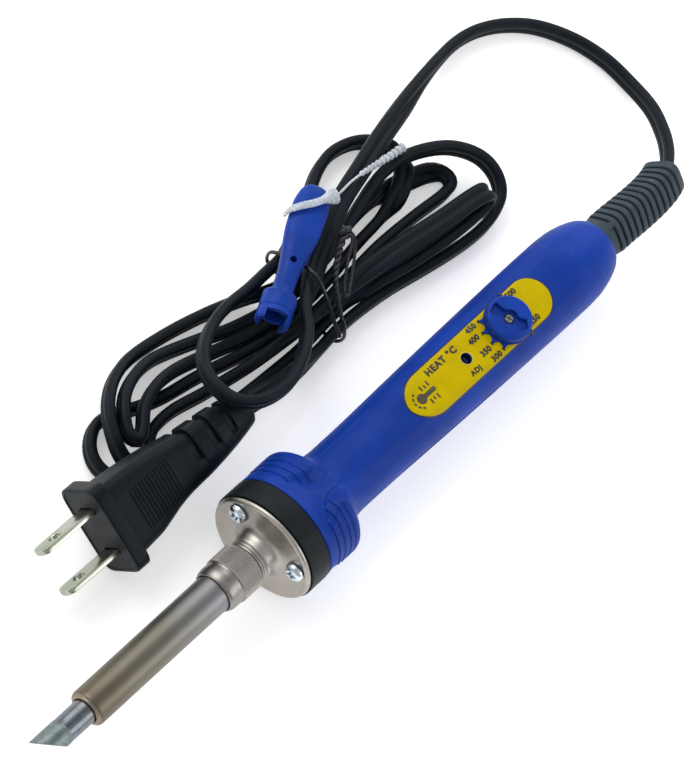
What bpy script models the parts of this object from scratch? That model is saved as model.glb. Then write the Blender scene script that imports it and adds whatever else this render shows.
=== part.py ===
"""Hand-held soldering iron with a temperature dial in the handle, its coiled mains cord, plug, dial key and ties.

Frame: +X runs from the tip back along the iron, +Z is up through the dial, +Y is the side the cord lies on.
The origin is the middle of the tip's bevelled working face. The guard at the front of the handle reaches down
to z = -16.65, the level the coil lies at. Dimensions are in millimetres and are scaled to metres as each mesh
is written.
"""

import bpy
import bmesh
from math import copysign, cos, pi, radians, sin, sqrt
from mathutils import Vector

for old in list(bpy.data.objects):
    bpy.data.objects.remove(old, do_unlink=True)

# ---------------------------------------------------------------- driving dimensions
MM = 0.001
GAP = 0.3                 # clearance between neighbouring pieces
X_AXIS, Y_AXIS, Z_AXIS = Vector((1, 0, 0)), Vector((0, 1, 0)), Vector((0, 0, 1))
XYZ = (X_AXIS, Y_AXIS, Z_AXIS)

NECK_FRONT_X = 70.5
NECK_R = 6.0
FLANGE_X = 82.0
FLANGE_T = 1.2
FLANGE_R = 16.2

SCREW_CIRCLE = 12.1
SCREW_ANGLES = (30.0, 150.0, 270.0)     # from +Y toward +Z
SCREW_SPOTS = [(SCREW_CIRCLE * cos(radians(a)), SCREW_CIRCLE * sin(radians(a))) for a in SCREW_ANGLES]
SCREW_HOLE_R = 1.7

RING_FRONT_X = FLANGE_X + FLANGE_T + GAP
RING_REAR_X = 90.3
RING_R = 16.6

HANDLE_X = RING_REAR_X + GAP
HANDLE_END_X = 219.5

KNOB_X = 176.9
KNOB_R = 6.45
KNOB_Z0 = 10.5            # underside of the knob's disc
KNOB_Z1 = 13.1            # top of the knob
DIAL_HOLE_R = 3.6
TRIM_X = 160.2
TRIM_HOLE_R = 1.65


# ---------------------------------------------------------------- materials
def material(name, colour, rough, metal=0.0):
    mat = bpy.data.materials.new(name)
    mat.use_nodes = True
    shader = mat.node_tree.nodes["Principled BSDF"]
    shader.inputs["Base Color"].default_value = (*colour, 1.0)
    shader.inputs["Roughness"].default_value = rough
    shader.inputs["Metallic"].default_value = metal
    mat.diffuse_color = (*colour, 1.0)
    return mat


BLUE = (0.022, 0.053, 0.40)

TIP_IRON = material("tip_plated_iron", (0.40, 0.42, 0.44), rough=0.3, metal=1.0)
SLEEVE_STEEL = material("sleeve_tinted_steel", (0.30, 0.22, 0.15), rough=0.33, metal=1.0)
NUT_NICKEL = material("nut_nickel", (0.42, 0.40, 0.37), rough=0.35, metal=1.0)
FLANGE_STEEL = material("flange_stainless", (0.47, 0.43, 0.39), rough=0.3, metal=1.0)
RING_PHENOLIC = material("ring_phenolic", (0.014, 0.020, 0.026), rough=0.45)
SCREW_ZINC = material("screw_zinc", (0.62, 0.66, 0.70), rough=0.22, metal=1.0)
HANDLE_BLUE = material("handle_blue_plastic", BLUE, rough=0.42)
LABEL_YELLOW = material("label_yellow_print", (0.68, 0.50, 0.008), rough=0.4)
KNOB_BLUE = material("knob_blue_plastic", BLUE, rough=0.35)
SHAFT_GREY = material("shaft_grey_plastic", (0.16, 0.17, 0.18), rough=0.45)
ROTOR_PLASTIC = material("trimmer_rotor_white", (0.07, 0.10, 0.28), rough=0.4)
BOARD_GREEN = material("board_green", (0.02, 0.12, 0.05), rough=0.5)
PART_BLACK = material("component_black", (0.02, 0.02, 0.022), rough=0.5)
POT_BLUE = material("pot_housing_blue", (0.03, 0.07, 0.25), rough=0.5)
TRIMMER_BLUE = material("trimmer_housing_blue", (0.03, 0.09, 0.35), rough=0.5)
CHIP_BLACK = material("chip_black", (0.018, 0.018, 0.02), rough=0.45)
CAPACITOR_BLUE = material("capacitor_blue_sleeve", (0.02, 0.04, 0.12), rough=0.35)
RESISTOR_TAN = material("resistor_tan", (0.45, 0.32, 0.18), rough=0.5)
FILM_YELLOW = material("film_cap_yellow", (0.5, 0.35, 0.02), rough=0.45)
ALUMINA = material("alumina_white", (0.75, 0.73, 0.68), rough=0.35)
STEATITE = material("holder_steatite", (0.55, 0.52, 0.45), rough=0.6)
LEAD_WHITE = material("lead_white_sleeving", (0.6, 0.6, 0.58), rough=0.6)
LEAD_RED = material("lead_red_sleeving", (0.45, 0.02, 0.02), rough=0.5)
CORD_BLACK = material("cord_black_pvc", (0.012, 0.016, 0.021), rough=0.5)
BUSHING_GREY = material("bushing_grey_rubber", (0.068, 0.095, 0.12), rough=0.55)
CLAMP_WHITE = material("clamp_white_nylon", (0.6, 0.6, 0.57), rough=0.5)
PLUG_BLACK = material("plug_black_pvc", (0.014, 0.018, 0.022), rough=0.5)
BLADE_NICKEL = material("blade_nickel", (0.55, 0.55, 0.50), rough=0.28, metal=1.0)
TIE_BLACK = material("tie_black_plastic", (0.01, 0.012, 0.014), rough=0.4)
KEY_BLUE = material("key_blue_plastic", (0.020, 0.065, 0.42), rough=0.38)
LOOP_CLEAR = material("loop_tie_clear_nylon", (0.75, 0.78, 0.80), rough=0.3)


# ---------------------------------------------------------------- mesh helpers
def add(name, verts, faces, mat, origin=(0, 0, 0), smooth=True, sharp=35.0):
    """One named object from vertices in mm; origin is where the object's own origin is put."""
    origin = Vector(origin)
    mesh = bpy.data.meshes.new(name)
    mesh.from_pydata([tuple((Vector(v) - origin) * MM) for v in verts], [], faces)
    bm = bmesh.new()
    bm.from_mesh(mesh)
    bmesh.ops.recalc_face_normals(bm, faces=bm.faces)
    bm.to_mesh(mesh)
    bm.free()
    mesh.materials.append(mat)
    for face in mesh.polygons:
        face.use_smooth = smooth
    if smooth:
        mesh.set_sharp_from_angle(angle=radians(sharp))
    piece = bpy.data.objects.new(name, mesh)
    piece.location = origin * MM
    bpy.context.collection.objects.link(piece)
    return piece


def loft(rings, close_rings=False):
    """Faces through equal rings of points; ends are capped unless the last ring joins the first."""
    n = len(rings[0])
    count = len(rings)
    verts = [p for ring in rings for p in ring]
    faces = []
    for i in range(count if close_rings else count - 1):
        a, b = i * n, ((i + 1) % count) * n
        for k in range(n):
            faces.append((a + k, a + (k + 1) % n, b + (k + 1) % n, b + k))
    if not close_rings:
        faces.append(tuple(range(n))[::-1])
        faces.append(tuple((count - 1) * n + k for k in range(n)))
    return verts, faces


def frame_of(direction):
    """Two unit vectors square to the direction, then the unit direction itself."""
    along = Vector(direction).normalized()
    ref = Z_AXIS if abs(along.z) < 0.9 else Y_AXIS
    side = ref.cross(along).normalized()
    return side, along.cross(side).normalized(), along


def circle(centre, side, up, radius, n, phase=0.0):
    """Ring of n points; phase turns it by that fraction of one side."""
    angles = [2 * pi * (k + phase) / n for k in range(n)]
    return [centre + (side * cos(a) + up * sin(a)) * radius for a in angles]


def turned(name, profile, mat, n, base=(0, 0, 0), axis=X_AXIS, origin=(0, 0, 0), phase=0.0):
    """Solid of revolution. profile is (distance along axis, radius); a profile that starts and ends on the
    axis is solid, any other is read as a closed ring section."""
    side, up, along = frame_of(axis)
    base = Vector(base)
    solid = profile[0][1] == 0 and profile[-1][1] == 0
    body = profile[1:-1] if solid else profile
    rings = [circle(base + along * s, side, up, r, n, phase) for s, r in body]
    if not solid:
        return add(name, *loft(rings, close_rings=True), mat, origin)
    verts = [base + along * profile[0][0]]
    verts += [p for ring in rings for p in ring]
    verts.append(base + along * profile[-1][0])
    last = len(verts) - 1
    faces = [(0, 1 + (k + 1) % n, 1 + k) for k in range(n)]
    for i in range(len(body) - 1):
        a, b = 1 + i * n, 1 + (i + 1) * n
        for k in range(n):
            faces.append((a + k, a + (k + 1) % n, b + (k + 1) % n, b + k))
    end = 1 + (len(body) - 1) * n
    faces += [(end + k, end + (k + 1) % n, last) for k in range(n)]
    return add(name, verts, faces, mat, origin)


def rod(start, end, radius):
    """Profile of a plain cylinder."""
    return [(start, 0), (start, radius), (end, radius), (end, 0)]


def box(name, centre, size, mat, axes=XYZ):
    centre = Vector(centre)
    verts = []
    for i in (-1, 1):
        for j in (-1, 1):
            for k in (-1, 1):
                verts.append(centre + axes[0] * i * size[0] / 2 + axes[1] * j * size[1] / 2
                             + axes[2] * k * size[2] / 2)
    faces = [(0, 1, 3, 2), (4, 6, 7, 5), (0, 4, 5, 1), (2, 3, 7, 6), (0, 2, 6, 4), (1, 5, 7, 3)]
    return add(name, verts, faces, mat, smooth=False)


def prism(name, outline, low, high, mat, base, axes=XYZ):
    """Outline in the first two axes, extruded from low to high along the third."""
    n = len(outline)
    base = Vector(base)
    verts = [base + axes[0] * a + axes[1] * b + axes[2] * c for c in (low, high) for a, b in outline]
    faces = [tuple(range(n))[::-1], tuple(range(n, 2 * n))]
    faces += [(k, (k + 1) % n, n + (k + 1) % n, n + k) for k in range(n)]
    return add(name, verts, faces, mat, smooth=False)


def cut(piece, tool):
    """Subtract a hidden tool from a piece."""
    tool.hide_render = True
    tool.display_type = "WIRE"
    mod = piece.modifiers.new("bool", "BOOLEAN")
    mod.operation = "DIFFERENCE"
    mod.solver = "EXACT"
    mod.object = tool


def cut_screw_holes(piece, label, start, end, mat):
    for i, (y, z) in enumerate(SCREW_SPOTS, 1):
        cut(piece, turned(f"cut_{label}_{i}", rod(start, end, SCREW_HOLE_R), mat, 12, base=(0, y, z)))


def cut_top_hole(piece, name, x, radius, n):
    """Vertical hole through the top of the handle or its label."""
    cut(piece, turned(name, rod(4, 12, radius), HANDLE_BLUE, n, base=(x, 0, 0), axis=Z_AXIS, phase=0.37))


# ---------------------------------------------------------------- paths and sections carried along them
def spline(control, step):
    """Catmull-Rom through rows of x, y, z and one more value; rows are returned about step mm apart."""
    rows = [list(map(float, row)) for row in control]
    first = [2 * a - b for a, b in zip(rows[0], rows[1])]
    last = [2 * a - b for a, b in zip(rows[-1], rows[-2])]
    rows = [first] + rows + [last]
    out = []
    for i in range(1, len(rows) - 2):
        span = rows[i - 1:i + 3]
        length = sqrt(sum((span[2][k] - span[1][k]) ** 2 for k in range(3)))
        n = max(1, round(length / step))
        for j in range(n):
            t = j / n
            out.append([0.5 * (2 * b + (c - a) * t + (2 * a - 5 * b + 4 * c - d) * t * t
                               + (3 * b - a - 3 * c + d) * t ** 3)
                        for a, b, c, d in zip(*span)])
    out.append(rows[-2])
    return out


def points_and_tangents(path):
    points = [Vector(row[:3]) for row in path]
    last = len(points) - 1
    tangents = [(points[min(last, i + 1)] - points[max(0, i - 1)]).normalized() for i in range(last + 1)]
    return points, tangents


def oval(half_w, half_t, n, power=1.0):
    """Superellipse of (wide, thick) points; a power below 1 squares it up."""
    points = []
    for k in range(n):
        a = 2 * pi * (k + 0.5) / n
        c, s = cos(a), sin(a)
        points.append((half_w * copysign(abs(c) ** power, c), half_t * copysign(abs(s) ** power, s)))
    return points


def sweep_rings(path, section):
    """Rings of section(i) = [(wide, thick)...] along rows (x, y, z, edge). The wide side lies
    across Y at edge 0 and stands up Z at edge 1."""
    points, tangents = points_and_tangents(path)
    rings = []
    for i, (point, along) in enumerate(zip(points, tangents)):
        edge = path[i][3]
        wide = Vector((0, 1 - edge, edge)).normalized()
        wide = (wide - along * wide.dot(along)).normalized()
        thick = along.cross(wide).normalized()
        rings.append([point + wide * a + thick * b for a, b in section(i)])
    return rings


def wire(name, control, mat, step, radius=None):
    """Six-sided wire carried without twisting. Rows are x, y, z when one radius is given, otherwise
    x, y, z, radius."""
    if radius is not None:
        control = [(*row, radius) for row in control]
    path = spline(control, step)
    points, tangents = points_and_tangents(path)
    side = frame_of(tangents[0])[0]
    rings = []
    for point, along, row in zip(points, tangents, path):
        side = (side - along * side.dot(along)).normalized()
        rings.append(circle(point, side, along.cross(side), row[3], 6))
    return add(name, *loft(rings), mat)


def wire_pair(name, control, mat, step, radius):
    """Wire 1 as given and wire 2 mirrored in Y."""
    for i, side in ((1, 1), (2, -1)):
        wire(f"{name}_{i}", [(x, side * y, z) for x, y, z in control], mat, step, radius)


def sleeve_on_cord(name, control, step, outer, inner, mat):
    """A hollow piece carried along the cord: outer(i, count) and inner give its two sections."""
    path = spline(control, step)
    outside = sweep_rings(path, lambda i: outer(i, len(path)))
    inside = sweep_rings(path, lambda i: inner)
    return add(name, *loft(outside + inside[::-1], close_rings=True), mat)


# ---------------------------------------------------------------- tip, sleeve and nut (move together off the neck)
BARREL_SIDES = 32
TIP_R = 3.7
TIP_COLLAR_R = 4.6
TIP_SHANK_R = 4.0
TIP_BORE_R = 2.4
TIP_SHOULDER_X = 20.0
TIP_REAR_X = 58.0
TIP_BORE_END_X = 26.0
BEVEL = Vector((-0.682, -0.657, -0.320)).normalized()   # outward direction of the working face

SLEEVE_FRONT_X = 14.0
SLEEVE_REAR_X = 70.2
SLEEVE_R = 5.45
SLEEVE_BORE_R = 4.95
SLEEVE_LIP_R = 4.15       # opening round the tip
SLEEVE_RIM_R = 5.95       # rim at the rear, held under the nut

NUT_FRONT_X = 63.3
NUT_REAR_X = 75.6
NUT_R = 6.9
NUT_MOUTH_R = 5.75


def build_tip():
    def ring(x, radius):
        return circle(Vector((x, 0, 0)), Y_AXIS, Z_AXIS, radius, BARREL_SIDES)

    # The front ring is the barrel's circle slid along X onto the bevel plane through the origin.
    face = [Vector((-(BEVEL.y * p.y + BEVEL.z * p.z) / BEVEL.x, p.y, p.z)) for p in ring(0, TIP_R)]
    stations = [        # x, radius: along the outside, then back up the bore
        (6.0, TIP_R), (TIP_SHOULDER_X - 0.9, TIP_R),
        (TIP_SHOULDER_X, TIP_COLLAR_R), (TIP_SHOULDER_X + 3, TIP_COLLAR_R),
        (TIP_SHOULDER_X + 3.6, TIP_SHANK_R), (TIP_REAR_X, TIP_SHANK_R),
        (TIP_REAR_X, TIP_BORE_R), (TIP_BORE_END_X, TIP_BORE_R)]
    add("soldering_tip", *loft([face] + [ring(x, r) for x, r in stations]), TIP_IRON)


def build_heater_sleeve():
    turned("heater_sleeve", [
        (SLEEVE_FRONT_X, SLEEVE_LIP_R), (SLEEVE_FRONT_X, 4.45), (SLEEVE_FRONT_X + 0.5, 5.05),
        (SLEEVE_FRONT_X + 1.4, SLEEVE_R), (68.5, SLEEVE_R), (68.6, SLEEVE_RIM_R),
        (SLEEVE_REAR_X, SLEEVE_RIM_R), (SLEEVE_REAR_X, SLEEVE_BORE_R),
        (SLEEVE_FRONT_X + 2.0, SLEEVE_BORE_R), (SLEEVE_FRONT_X + 1.2, SLEEVE_LIP_R)],
        SLEEVE_STEEL, BARREL_SIDES)


def build_retaining_nut():
    turned("retaining_nut", [
        (NUT_FRONT_X, NUT_MOUTH_R), (NUT_FRONT_X, 5.95), (NUT_FRONT_X + 1.2, 6.5),
        (NUT_FRONT_X + 2.2, 6.75), (68.0, 6.75), (68.3, NUT_R), (75.3, NUT_R), (NUT_REAR_X, 6.7),
        (NUT_REAR_X, NECK_R + GAP), (68.35, NECK_R + GAP), (68.3, NUT_MOUTH_R)],
        NUT_NICKEL, BARREL_SIDES)


# ---------------------------------------------------------------- flange, insulating ring, screws
NECK_BORE_R = 4.9
RING_BORE_R = 7.0
SCREW_X = 79.9            # front of the head
SCREW_HEAD_R = 2.75
SCREW_SHANK_R = 1.35
RECESS_SIZE = (2.2, 0.7, 3.2)           # one bar of the cross recess: depth setting, width, length
RECESS_ANGLES = (20.0, 110.0)


def build_flange():
    """Flange plate and the neck the nut screws onto, in one piece."""
    flange = turned("flange_plate", [
        (NECK_FRONT_X, NECK_BORE_R), (NECK_FRONT_X, NECK_R - 0.2), (NECK_FRONT_X + 0.3, NECK_R),
        (75.7, NECK_R), (76.0, 6.4), (79.0, 6.4), (80.4, 6.9), (81.4, 7.9), (FLANGE_X, 9.2),
        (FLANGE_X, 15.75), (FLANGE_X + 0.35, FLANGE_R - 0.05), (FLANGE_X + FLANGE_T, FLANGE_R),
        (FLANGE_X + FLANGE_T, 9.0), (81.9, 6.2), (79.5, NECK_BORE_R)], FLANGE_STEEL, 32)
    cut_screw_holes(flange, "flange", 80, 85, FLANGE_STEEL)


def build_insulating_ring():
    ring = turned("insulating_ring", [
        (RING_FRONT_X, RING_BORE_R), (RING_FRONT_X, RING_R - 0.15), (RING_FRONT_X + 0.15, RING_R),
        (RING_REAR_X, RING_R), (RING_REAR_X, RING_BORE_R)], RING_PHENOLIC, 36)
    cut_screw_holes(ring, "ring", 82, 92, FLANGE_STEEL)


def build_screws():
    profile = [
        (SCREW_X, 0), (SCREW_X, 1.3), (80.15, 2.1), (80.7, 2.6), (81.3, SCREW_HEAD_R),
        (81.7, SCREW_HEAD_R), (81.7, SCREW_SHANK_R), (97.0, SCREW_SHANK_R), (97.8, 0.7), (97.8, 0)]
    for i, (y, z) in enumerate(SCREW_SPOTS, 1):
        screw = turned(f"flange_screw_{i}", profile, SCREW_ZINC, 16, base=(0, y, z))
        for j, angle in enumerate(RECESS_ANGLES):
            c, s = cos(radians(angle)), sin(radians(angle))
            axes = (X_AXIS, Vector((0, c, s)), Vector((0, -s, c)))
            cut(screw, box(f"cut_recess_{i}_{j}", (SCREW_X, y, z), RECESS_SIZE, SCREW_ZINC, axes))


# ---------------------------------------------------------------- handle
HANDLE_SIDES = 40
CAVITY_R = 8.3
CORD_HOLE_R = 6.1         # narrower opening at the rear end
PAD_Z = 9.75              # height of the flattened top where the label lies
PAD_HALF_ANGLE = 60       # degrees either side of +Z in which the top may be flattened
GUARD_END_X = 112.0       # the lobed guard has blended into the round grip here

# x, radius: through the guard's lobes (one at each screw), through the valleys between, along the grip
LOBE = [
    (HANDLE_X, 16.65), (101.6, 16.65), (102.6, 16.45), (103.8, 15.4), (105.0, 13.4), (106.2, 11.8),
    (107.4, 10.95), (109.0, 10.5), (GUARD_END_X, 10.25)]
VALLEY = [
    (HANDLE_X, 16.6), (93.0, 15.7), (96.0, 14.6), (99.0, 13.5), (102.0, 12.4), (105.0, 11.35),
    (109.0, 10.6), (GUARD_END_X, 10.25)]
GRIP = [
    (GUARD_END_X, 10.25), (121.0, 10.26), (136.0, 10.56), (150.0, 10.88), (165.0, 11.13), (182.0, 11.35),
    (196.0, 11.47), (204.0, 11.45), (209.0, 11.2), (213.0, 10.5), (216.0, 9.6), (218.4, 8.5),
    (HANDLE_END_X, 7.6)]
HANDLE_STATIONS = [
    HANDLE_X, 95, 99, 101.6, 102.6, 103.8, 105, 106.2, 107.4, 109, GUARD_END_X, 121, 128, 134, 149,
    165.3, 184.7, 197, 203, 208, 213, 216, 218.4, HANDLE_END_X]


def interpolate(rows, x):
    """Straight-line reading of a table of (x, value), for x within the table."""
    for (x0, a), (x1, b) in zip(rows, rows[1:]):
        if x <= x1:
            return a + (b - a) * ((x - x0) / (x1 - x0))


def smoothstep(start, end, x):
    t = min(1.0, max(0.0, (x - start) / (end - start)))
    return t * t * (3 - 2 * t)


def degrees_between(a, b):
    return abs((a - b + 180) % 360 - 180)


def handle_radius(x, angle):
    """Outer radius of the handle at station x and angle (degrees from +Y toward +Z)."""
    if x <= GUARD_END_X:
        off = min(degrees_between(angle, lobe) for lobe in SCREW_ANGLES)     # 0 on a lobe, 60 in a valley
        half = 20 + 22 * smoothstep(HANDLE_X, 101.0, x)      # lobes widen toward the rear
        weight = 1 - smoothstep(half - 5, half + 9, off)
        valley = interpolate(VALLEY, x)
        return valley + (interpolate(LOBE, x) - valley) * weight
    radius = interpolate(GRIP, x)
    from_top = degrees_between(angle, 90)
    if from_top < PAD_HALF_ANGLE:
        flat = PAD_Z / cos(radians(from_top))
        if flat < radius:
            keep = smoothstep(126, 134, x) * (1 - smoothstep(197, 205, x))
            radius += (flat - radius) * keep
    return radius


def build_handle():
    rings = []
    for x in HANDLE_STATIONS:
        ring = []
        for k in range(HANDLE_SIDES):
            angle = 360.0 * k / HANDLE_SIDES
            r = handle_radius(x, angle)
            ring.append(Vector((x, r * cos(radians(angle)), r * sin(radians(angle)))))
        rings.append(ring)
    # The cavity, from the rear opening forward.
    for x, r in ((HANDLE_END_X, CORD_HOLE_R), (213.5, CORD_HOLE_R), (211.0, CAVITY_R), (HANDLE_X, CAVITY_R)):
        rings.append(circle(Vector((x, 0, 0)), Y_AXIS, Z_AXIS, r, HANDLE_SIDES))
    handle = add("handle_body", *loft(rings, close_rings=True), HANDLE_BLUE)
    cut_screw_holes(handle, "boss", 88, 99, HANDLE_BLUE)
    cut_top_hole(handle, "cut_dial_hole", KNOB_X, DIAL_HOLE_R, 18)
    cut_top_hole(handle, "cut_trim_hole", TRIM_X, TRIM_HOLE_R, 16)


# ---------------------------------------------------------------- label
LABEL_X0 = 137.2
LABEL_X1 = 193.1
LABEL_HALF = 6.4
LABEL_T = 0.22
LABEL_LIFT = 0.2          # underside above the handle's surface
LABEL_FRONT = 9.0         # length of the tapered front end
LABEL_STEPS = 16          # lengthwise divisions
LABEL_COLUMNS = (-1, -.776, -.495, -.241, 0, .241, .495, .776, 1)     # places across, as parts of the half width


def label_half(x):
    """Half width of the label: round at the rear end, longer and softer at the front end."""
    if x < LABEL_X0 + LABEL_FRONT:
        t = (LABEL_X0 + LABEL_FRONT - x) / LABEL_FRONT
        return LABEL_HALF * (1 - t ** 2.1) ** 0.55
    if x > LABEL_X1 - LABEL_HALF:
        t = (x - LABEL_X1 + LABEL_HALF) / LABEL_HALF
        return LABEL_HALF * sqrt(max(0.0, 1 - t * t))
    return LABEL_HALF


def pad_height(x, y):
    """Height of the handle's faceted top surface above the axis at (x, y)."""
    inner_y, inner_z = 0.0, handle_radius(x, 90.0)
    k = 1
    while True:
        from_top = k * 360.0 / HANDLE_SIDES
        r = handle_radius(x, 90.0 - from_top)
        outer_y, outer_z = r * sin(radians(from_top)), r * cos(radians(from_top))
        if outer_y >= abs(y):
            t = (abs(y) - inner_y) / (outer_y - inner_y)
            return inner_z + (outer_z - inner_z) * t
        inner_y, inner_z = outer_y, outer_z
        k += 1


def build_label():
    top, bottom = [], []
    for i in range(LABEL_STEPS + 1):
        # Stations crowd toward both rounded ends.
        t = 0.5 - 0.5 * cos(pi * (i + 0.25) / (LABEL_STEPS + 0.5))
        x = LABEL_X0 + (LABEL_X1 - LABEL_X0) * t
        for column in LABEL_COLUMNS:
            y = label_half(x) * column
            z = pad_height(x, y) + LABEL_LIFT
            top.append(Vector((x, y, z + LABEL_T)))
            bottom.append(Vector((x, y, z)))
    under = len(top)      # index offset from a top vertex to the one below it
    row = len(LABEL_COLUMNS)
    faces = []
    for i in range(LABEL_STEPS):
        for j in range(row - 1):
            a = i * row + j
            faces.append((a, a + row, a + row + 1, a + 1))
            faces.append((under + a, under + a + 1, under + a + row + 1, under + a + row))
        a, b = i * row, i * row + row - 1
        faces.append((a, under + a, under + a + row, a + row))
        faces.append((b, b + row, under + b + row, under + b))
    for j in range(row - 1):
        a, b = j, LABEL_STEPS * row + j
        faces.append((a, a + 1, under + a + 1, under + a))
        faces.append((b, under + b, under + b + 1, b + 1))
    label = add("dial_label", top + bottom, faces, LABEL_YELLOW)
    cut_top_hole(label, "cut_label_dial", KNOB_X, DIAL_HOLE_R, 20)
    cut_top_hole(label, "cut_label_trim", TRIM_X, TRIM_HOLE_R, 16)


# ---------------------------------------------------------------- dial knob, its shaft, and the trimmer rotor
KNOB_ORIGIN = (KNOB_X, 0, KNOB_Z0)
KNOB_BORE_R = 1.5
KNOB_STEM_R = 3.2
KNOB_STEM_Z = 5.6         # bottom of the stem
KNOB_EDGE = 0.3           # chamfer round the top
POCKET_DEPTH = 1.1
POINTER = 288.0           # direction of the pointed pocket, degrees from +X toward +Y
# radius, degrees from POINTER
POINTER_POCKET = [(2.1, -40), (4.3, -27), (5.6, 0), (4.3, 27), (2.1, 40)]
FAN_POCKET = [(2.1, 150), (5.5, 160), (5.5, 173), (5.5, 187), (5.5, 200), (2.1, 210)]
SHAFT_R = 1.2
SLOT_W = 0.5


def build_knob():
    knob = turned("temperature_knob", [
        (KNOB_STEM_Z, KNOB_BORE_R), (KNOB_STEM_Z, KNOB_STEM_R), (KNOB_Z0, KNOB_STEM_R), (KNOB_Z0, KNOB_R),
        (KNOB_Z1 - KNOB_EDGE, KNOB_R), (KNOB_Z1, KNOB_R - KNOB_EDGE), (KNOB_Z1, KNOB_BORE_R)],
        KNOB_BLUE, 40, base=(KNOB_X, 0, 0), axis=Z_AXIS, origin=KNOB_ORIGIN)
    for label, pocket in (("pointer", POINTER_POCKET), ("fan", FAN_POCKET)):
        outline = [(r * cos(radians(POINTER + a)), r * sin(radians(POINTER + a))) for r, a in pocket]
        cut(knob, prism(f"cut_knob_{label}", outline, KNOB_Z1 - POCKET_DEPTH, KNOB_Z1 + 1, KNOB_BLUE,
                        base=(KNOB_X, 0, 0)))


def build_shaft():
    shaft = turned("potentiometer_shaft", rod(3.6, 12.2, SHAFT_R), SHAFT_GREY, 16, base=(KNOB_X, 0, 0),
                   axis=Z_AXIS, origin=KNOB_ORIGIN)
    cut(shaft, box("cut_shaft_slot", (KNOB_X, 0, 12.3), (4, SLOT_W, 1.6), SHAFT_GREY))


def build_trimmer_rotor():
    rotor = turned("trimmer_rotor", [(3.2, 0), (3.2, 1.3), (7.9, 1.3), (8.1, 1.1), (8.1, 0)],
                   ROTOR_PLASTIC, 16, base=(TRIM_X, 0, 0), axis=Z_AXIS, origin=(TRIM_X, 0, 5.5))
    for label, size in (("a", (3.2, SLOT_W, 1.2)), ("b", (SLOT_W, 3.2, 1.2))):
        cut(rotor, box(f"cut_rotor_slot_{label}", (TRIM_X, 0, 8.1), size, ROTOR_PLASTIC))


# ---------------------------------------------------------------- electronics inside the handle
BOXED_PARTS = [       # name, centre, size, material
    ("circuit_board", (157, 0, -2.0), (90, 13.5, 1.6), BOARD_GREEN),
    ("potentiometer_body", (KNOB_X, 0, 1.05), (9, 9, 4.5), POT_BLUE),
    ("trimmer_body", (TRIM_X, 0, 0.9), (6.5, 6.5, 4.2), TRIMMER_BLUE),
    ("triac", (128, 2.2, 1.1), (14, 4.5, 4.6), PART_BLACK),
    ("control_chip", (145, 0, 0.6), (10, 6.4, 3.4), CHIP_BLACK)]
ROUND_PARTS = [       # name, middle of the front end, length, radius, sides, material
    ("filter_capacitor", (186, 0, 2.2), 11, 3.0, 16, CAPACITOR_BLUE),
    ("dropper_resistor", (116, -3.6, 0.6), 9, 1.4, 12, RESISTOR_TAN),
    ("snubber_capacitor", (150, 0, -5.4), 6, 2.0, 12, FILM_YELLOW)]


def build_electronics():
    for name, centre, size, mat in BOXED_PARTS:
        box(name, centre, size, mat)
    for name, front, length, radius, sides, mat in ROUND_PARTS:
        turned(name, rod(0, length, radius), mat, sides, base=front)


# ---------------------------------------------------------------- heater, its holder and leads
HEATER_R = 2.0
HEATER_COLLAR_R = 3.4
HEATER_LEAD = [(101.5, 0.7, 0.7), (104, 1.6, 1.4), (107.5, 3.2, 1.0), (111, 4.4, 0.2)]
SENSOR_LEAD = [(101.5, 0.7, -0.7), (104, 1.8, -1.9), (107.0, 3.0, -4.0), (111.5, 3.4, -4.2)]


def build_heater():
    turned("ceramic_heater", [
        (29.0, 0), (29.0, 1.7), (29.4, HEATER_R), (86.0, HEATER_R), (86.2, HEATER_COLLAR_R),
        (89.6, HEATER_COLLAR_R), (89.8, HEATER_R), (101.0, HEATER_R), (101.0, 0)], ALUMINA, 20)


def build_heater_holder():
    turned("heater_holder", [(91.2, 2.4), (91.2, 7.9), (97.5, 7.9), (97.5, 2.4)], STEATITE, 24)


def build_leads():
    wire_pair("heater_lead", HEATER_LEAD, LEAD_WHITE, step=2.0, radius=0.55)
    wire_pair("sensor_lead", SENSOR_LEAD, LEAD_RED, step=2.0, radius=0.45)


# ---------------------------------------------------------------- cord
CORD_HALF_W = 2.9         # half of the wide side of the flat twin cord
CORD_HALF_T = 1.6         # half of its thickness
CORD_SCALE = 1.02         # enlarges the six-sided section

# Rows are x, y, z, edge (0 flat, 1 on edge). The runs follow one another from the handle to the plug;
# each loop starts and ends near x = 150, where the twist tie gathers the coil. Front is toward the tip.
FROM_IRON = [
    (206, 0, 0, 0), (214, 0, 0, 0), (222, 0, 0, .05), (229, -.2, 0, .2), (236, -.5, -.3, .4),
    (243, -.5, -.8, .6), (248.5, 0, -1.5, .8), (252.4, .9, -2.4, .9), (256.4, 2.9, -3.8, .95),
    (260.8, 5.8, -5.8, 1), (265.4, 10.4, -8.2, 1), (269.9, 17.6, -10.9, 1), (272, 27, -13.2, 1),
    (271.8, 36.6, -13.6, 1), (268.9, 46.4, -13.6, 1), (263.4, 55.6, -13.6, 1), (256.4, 61.9, -13.6, 1),
    (248.6, 65.8, -13.6, 1), (240.6, 67.2, -13, 1), (232, 66.7, -11.8, .9), (222.6, 65.3, -9.6, .7),
    (213, 63.4, -7.4, .45), (203.6, 61.6, -5.4, .25), (194.8, 59.8, -3.6, .15), (184.7, 57.3, -1.8, .1),
    (175.3, 55.1, -.6, .1), (167.5, 52.6, 0, .1), (158, 48.3, .4, .1), (151, 45, .6, .2)]
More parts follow.
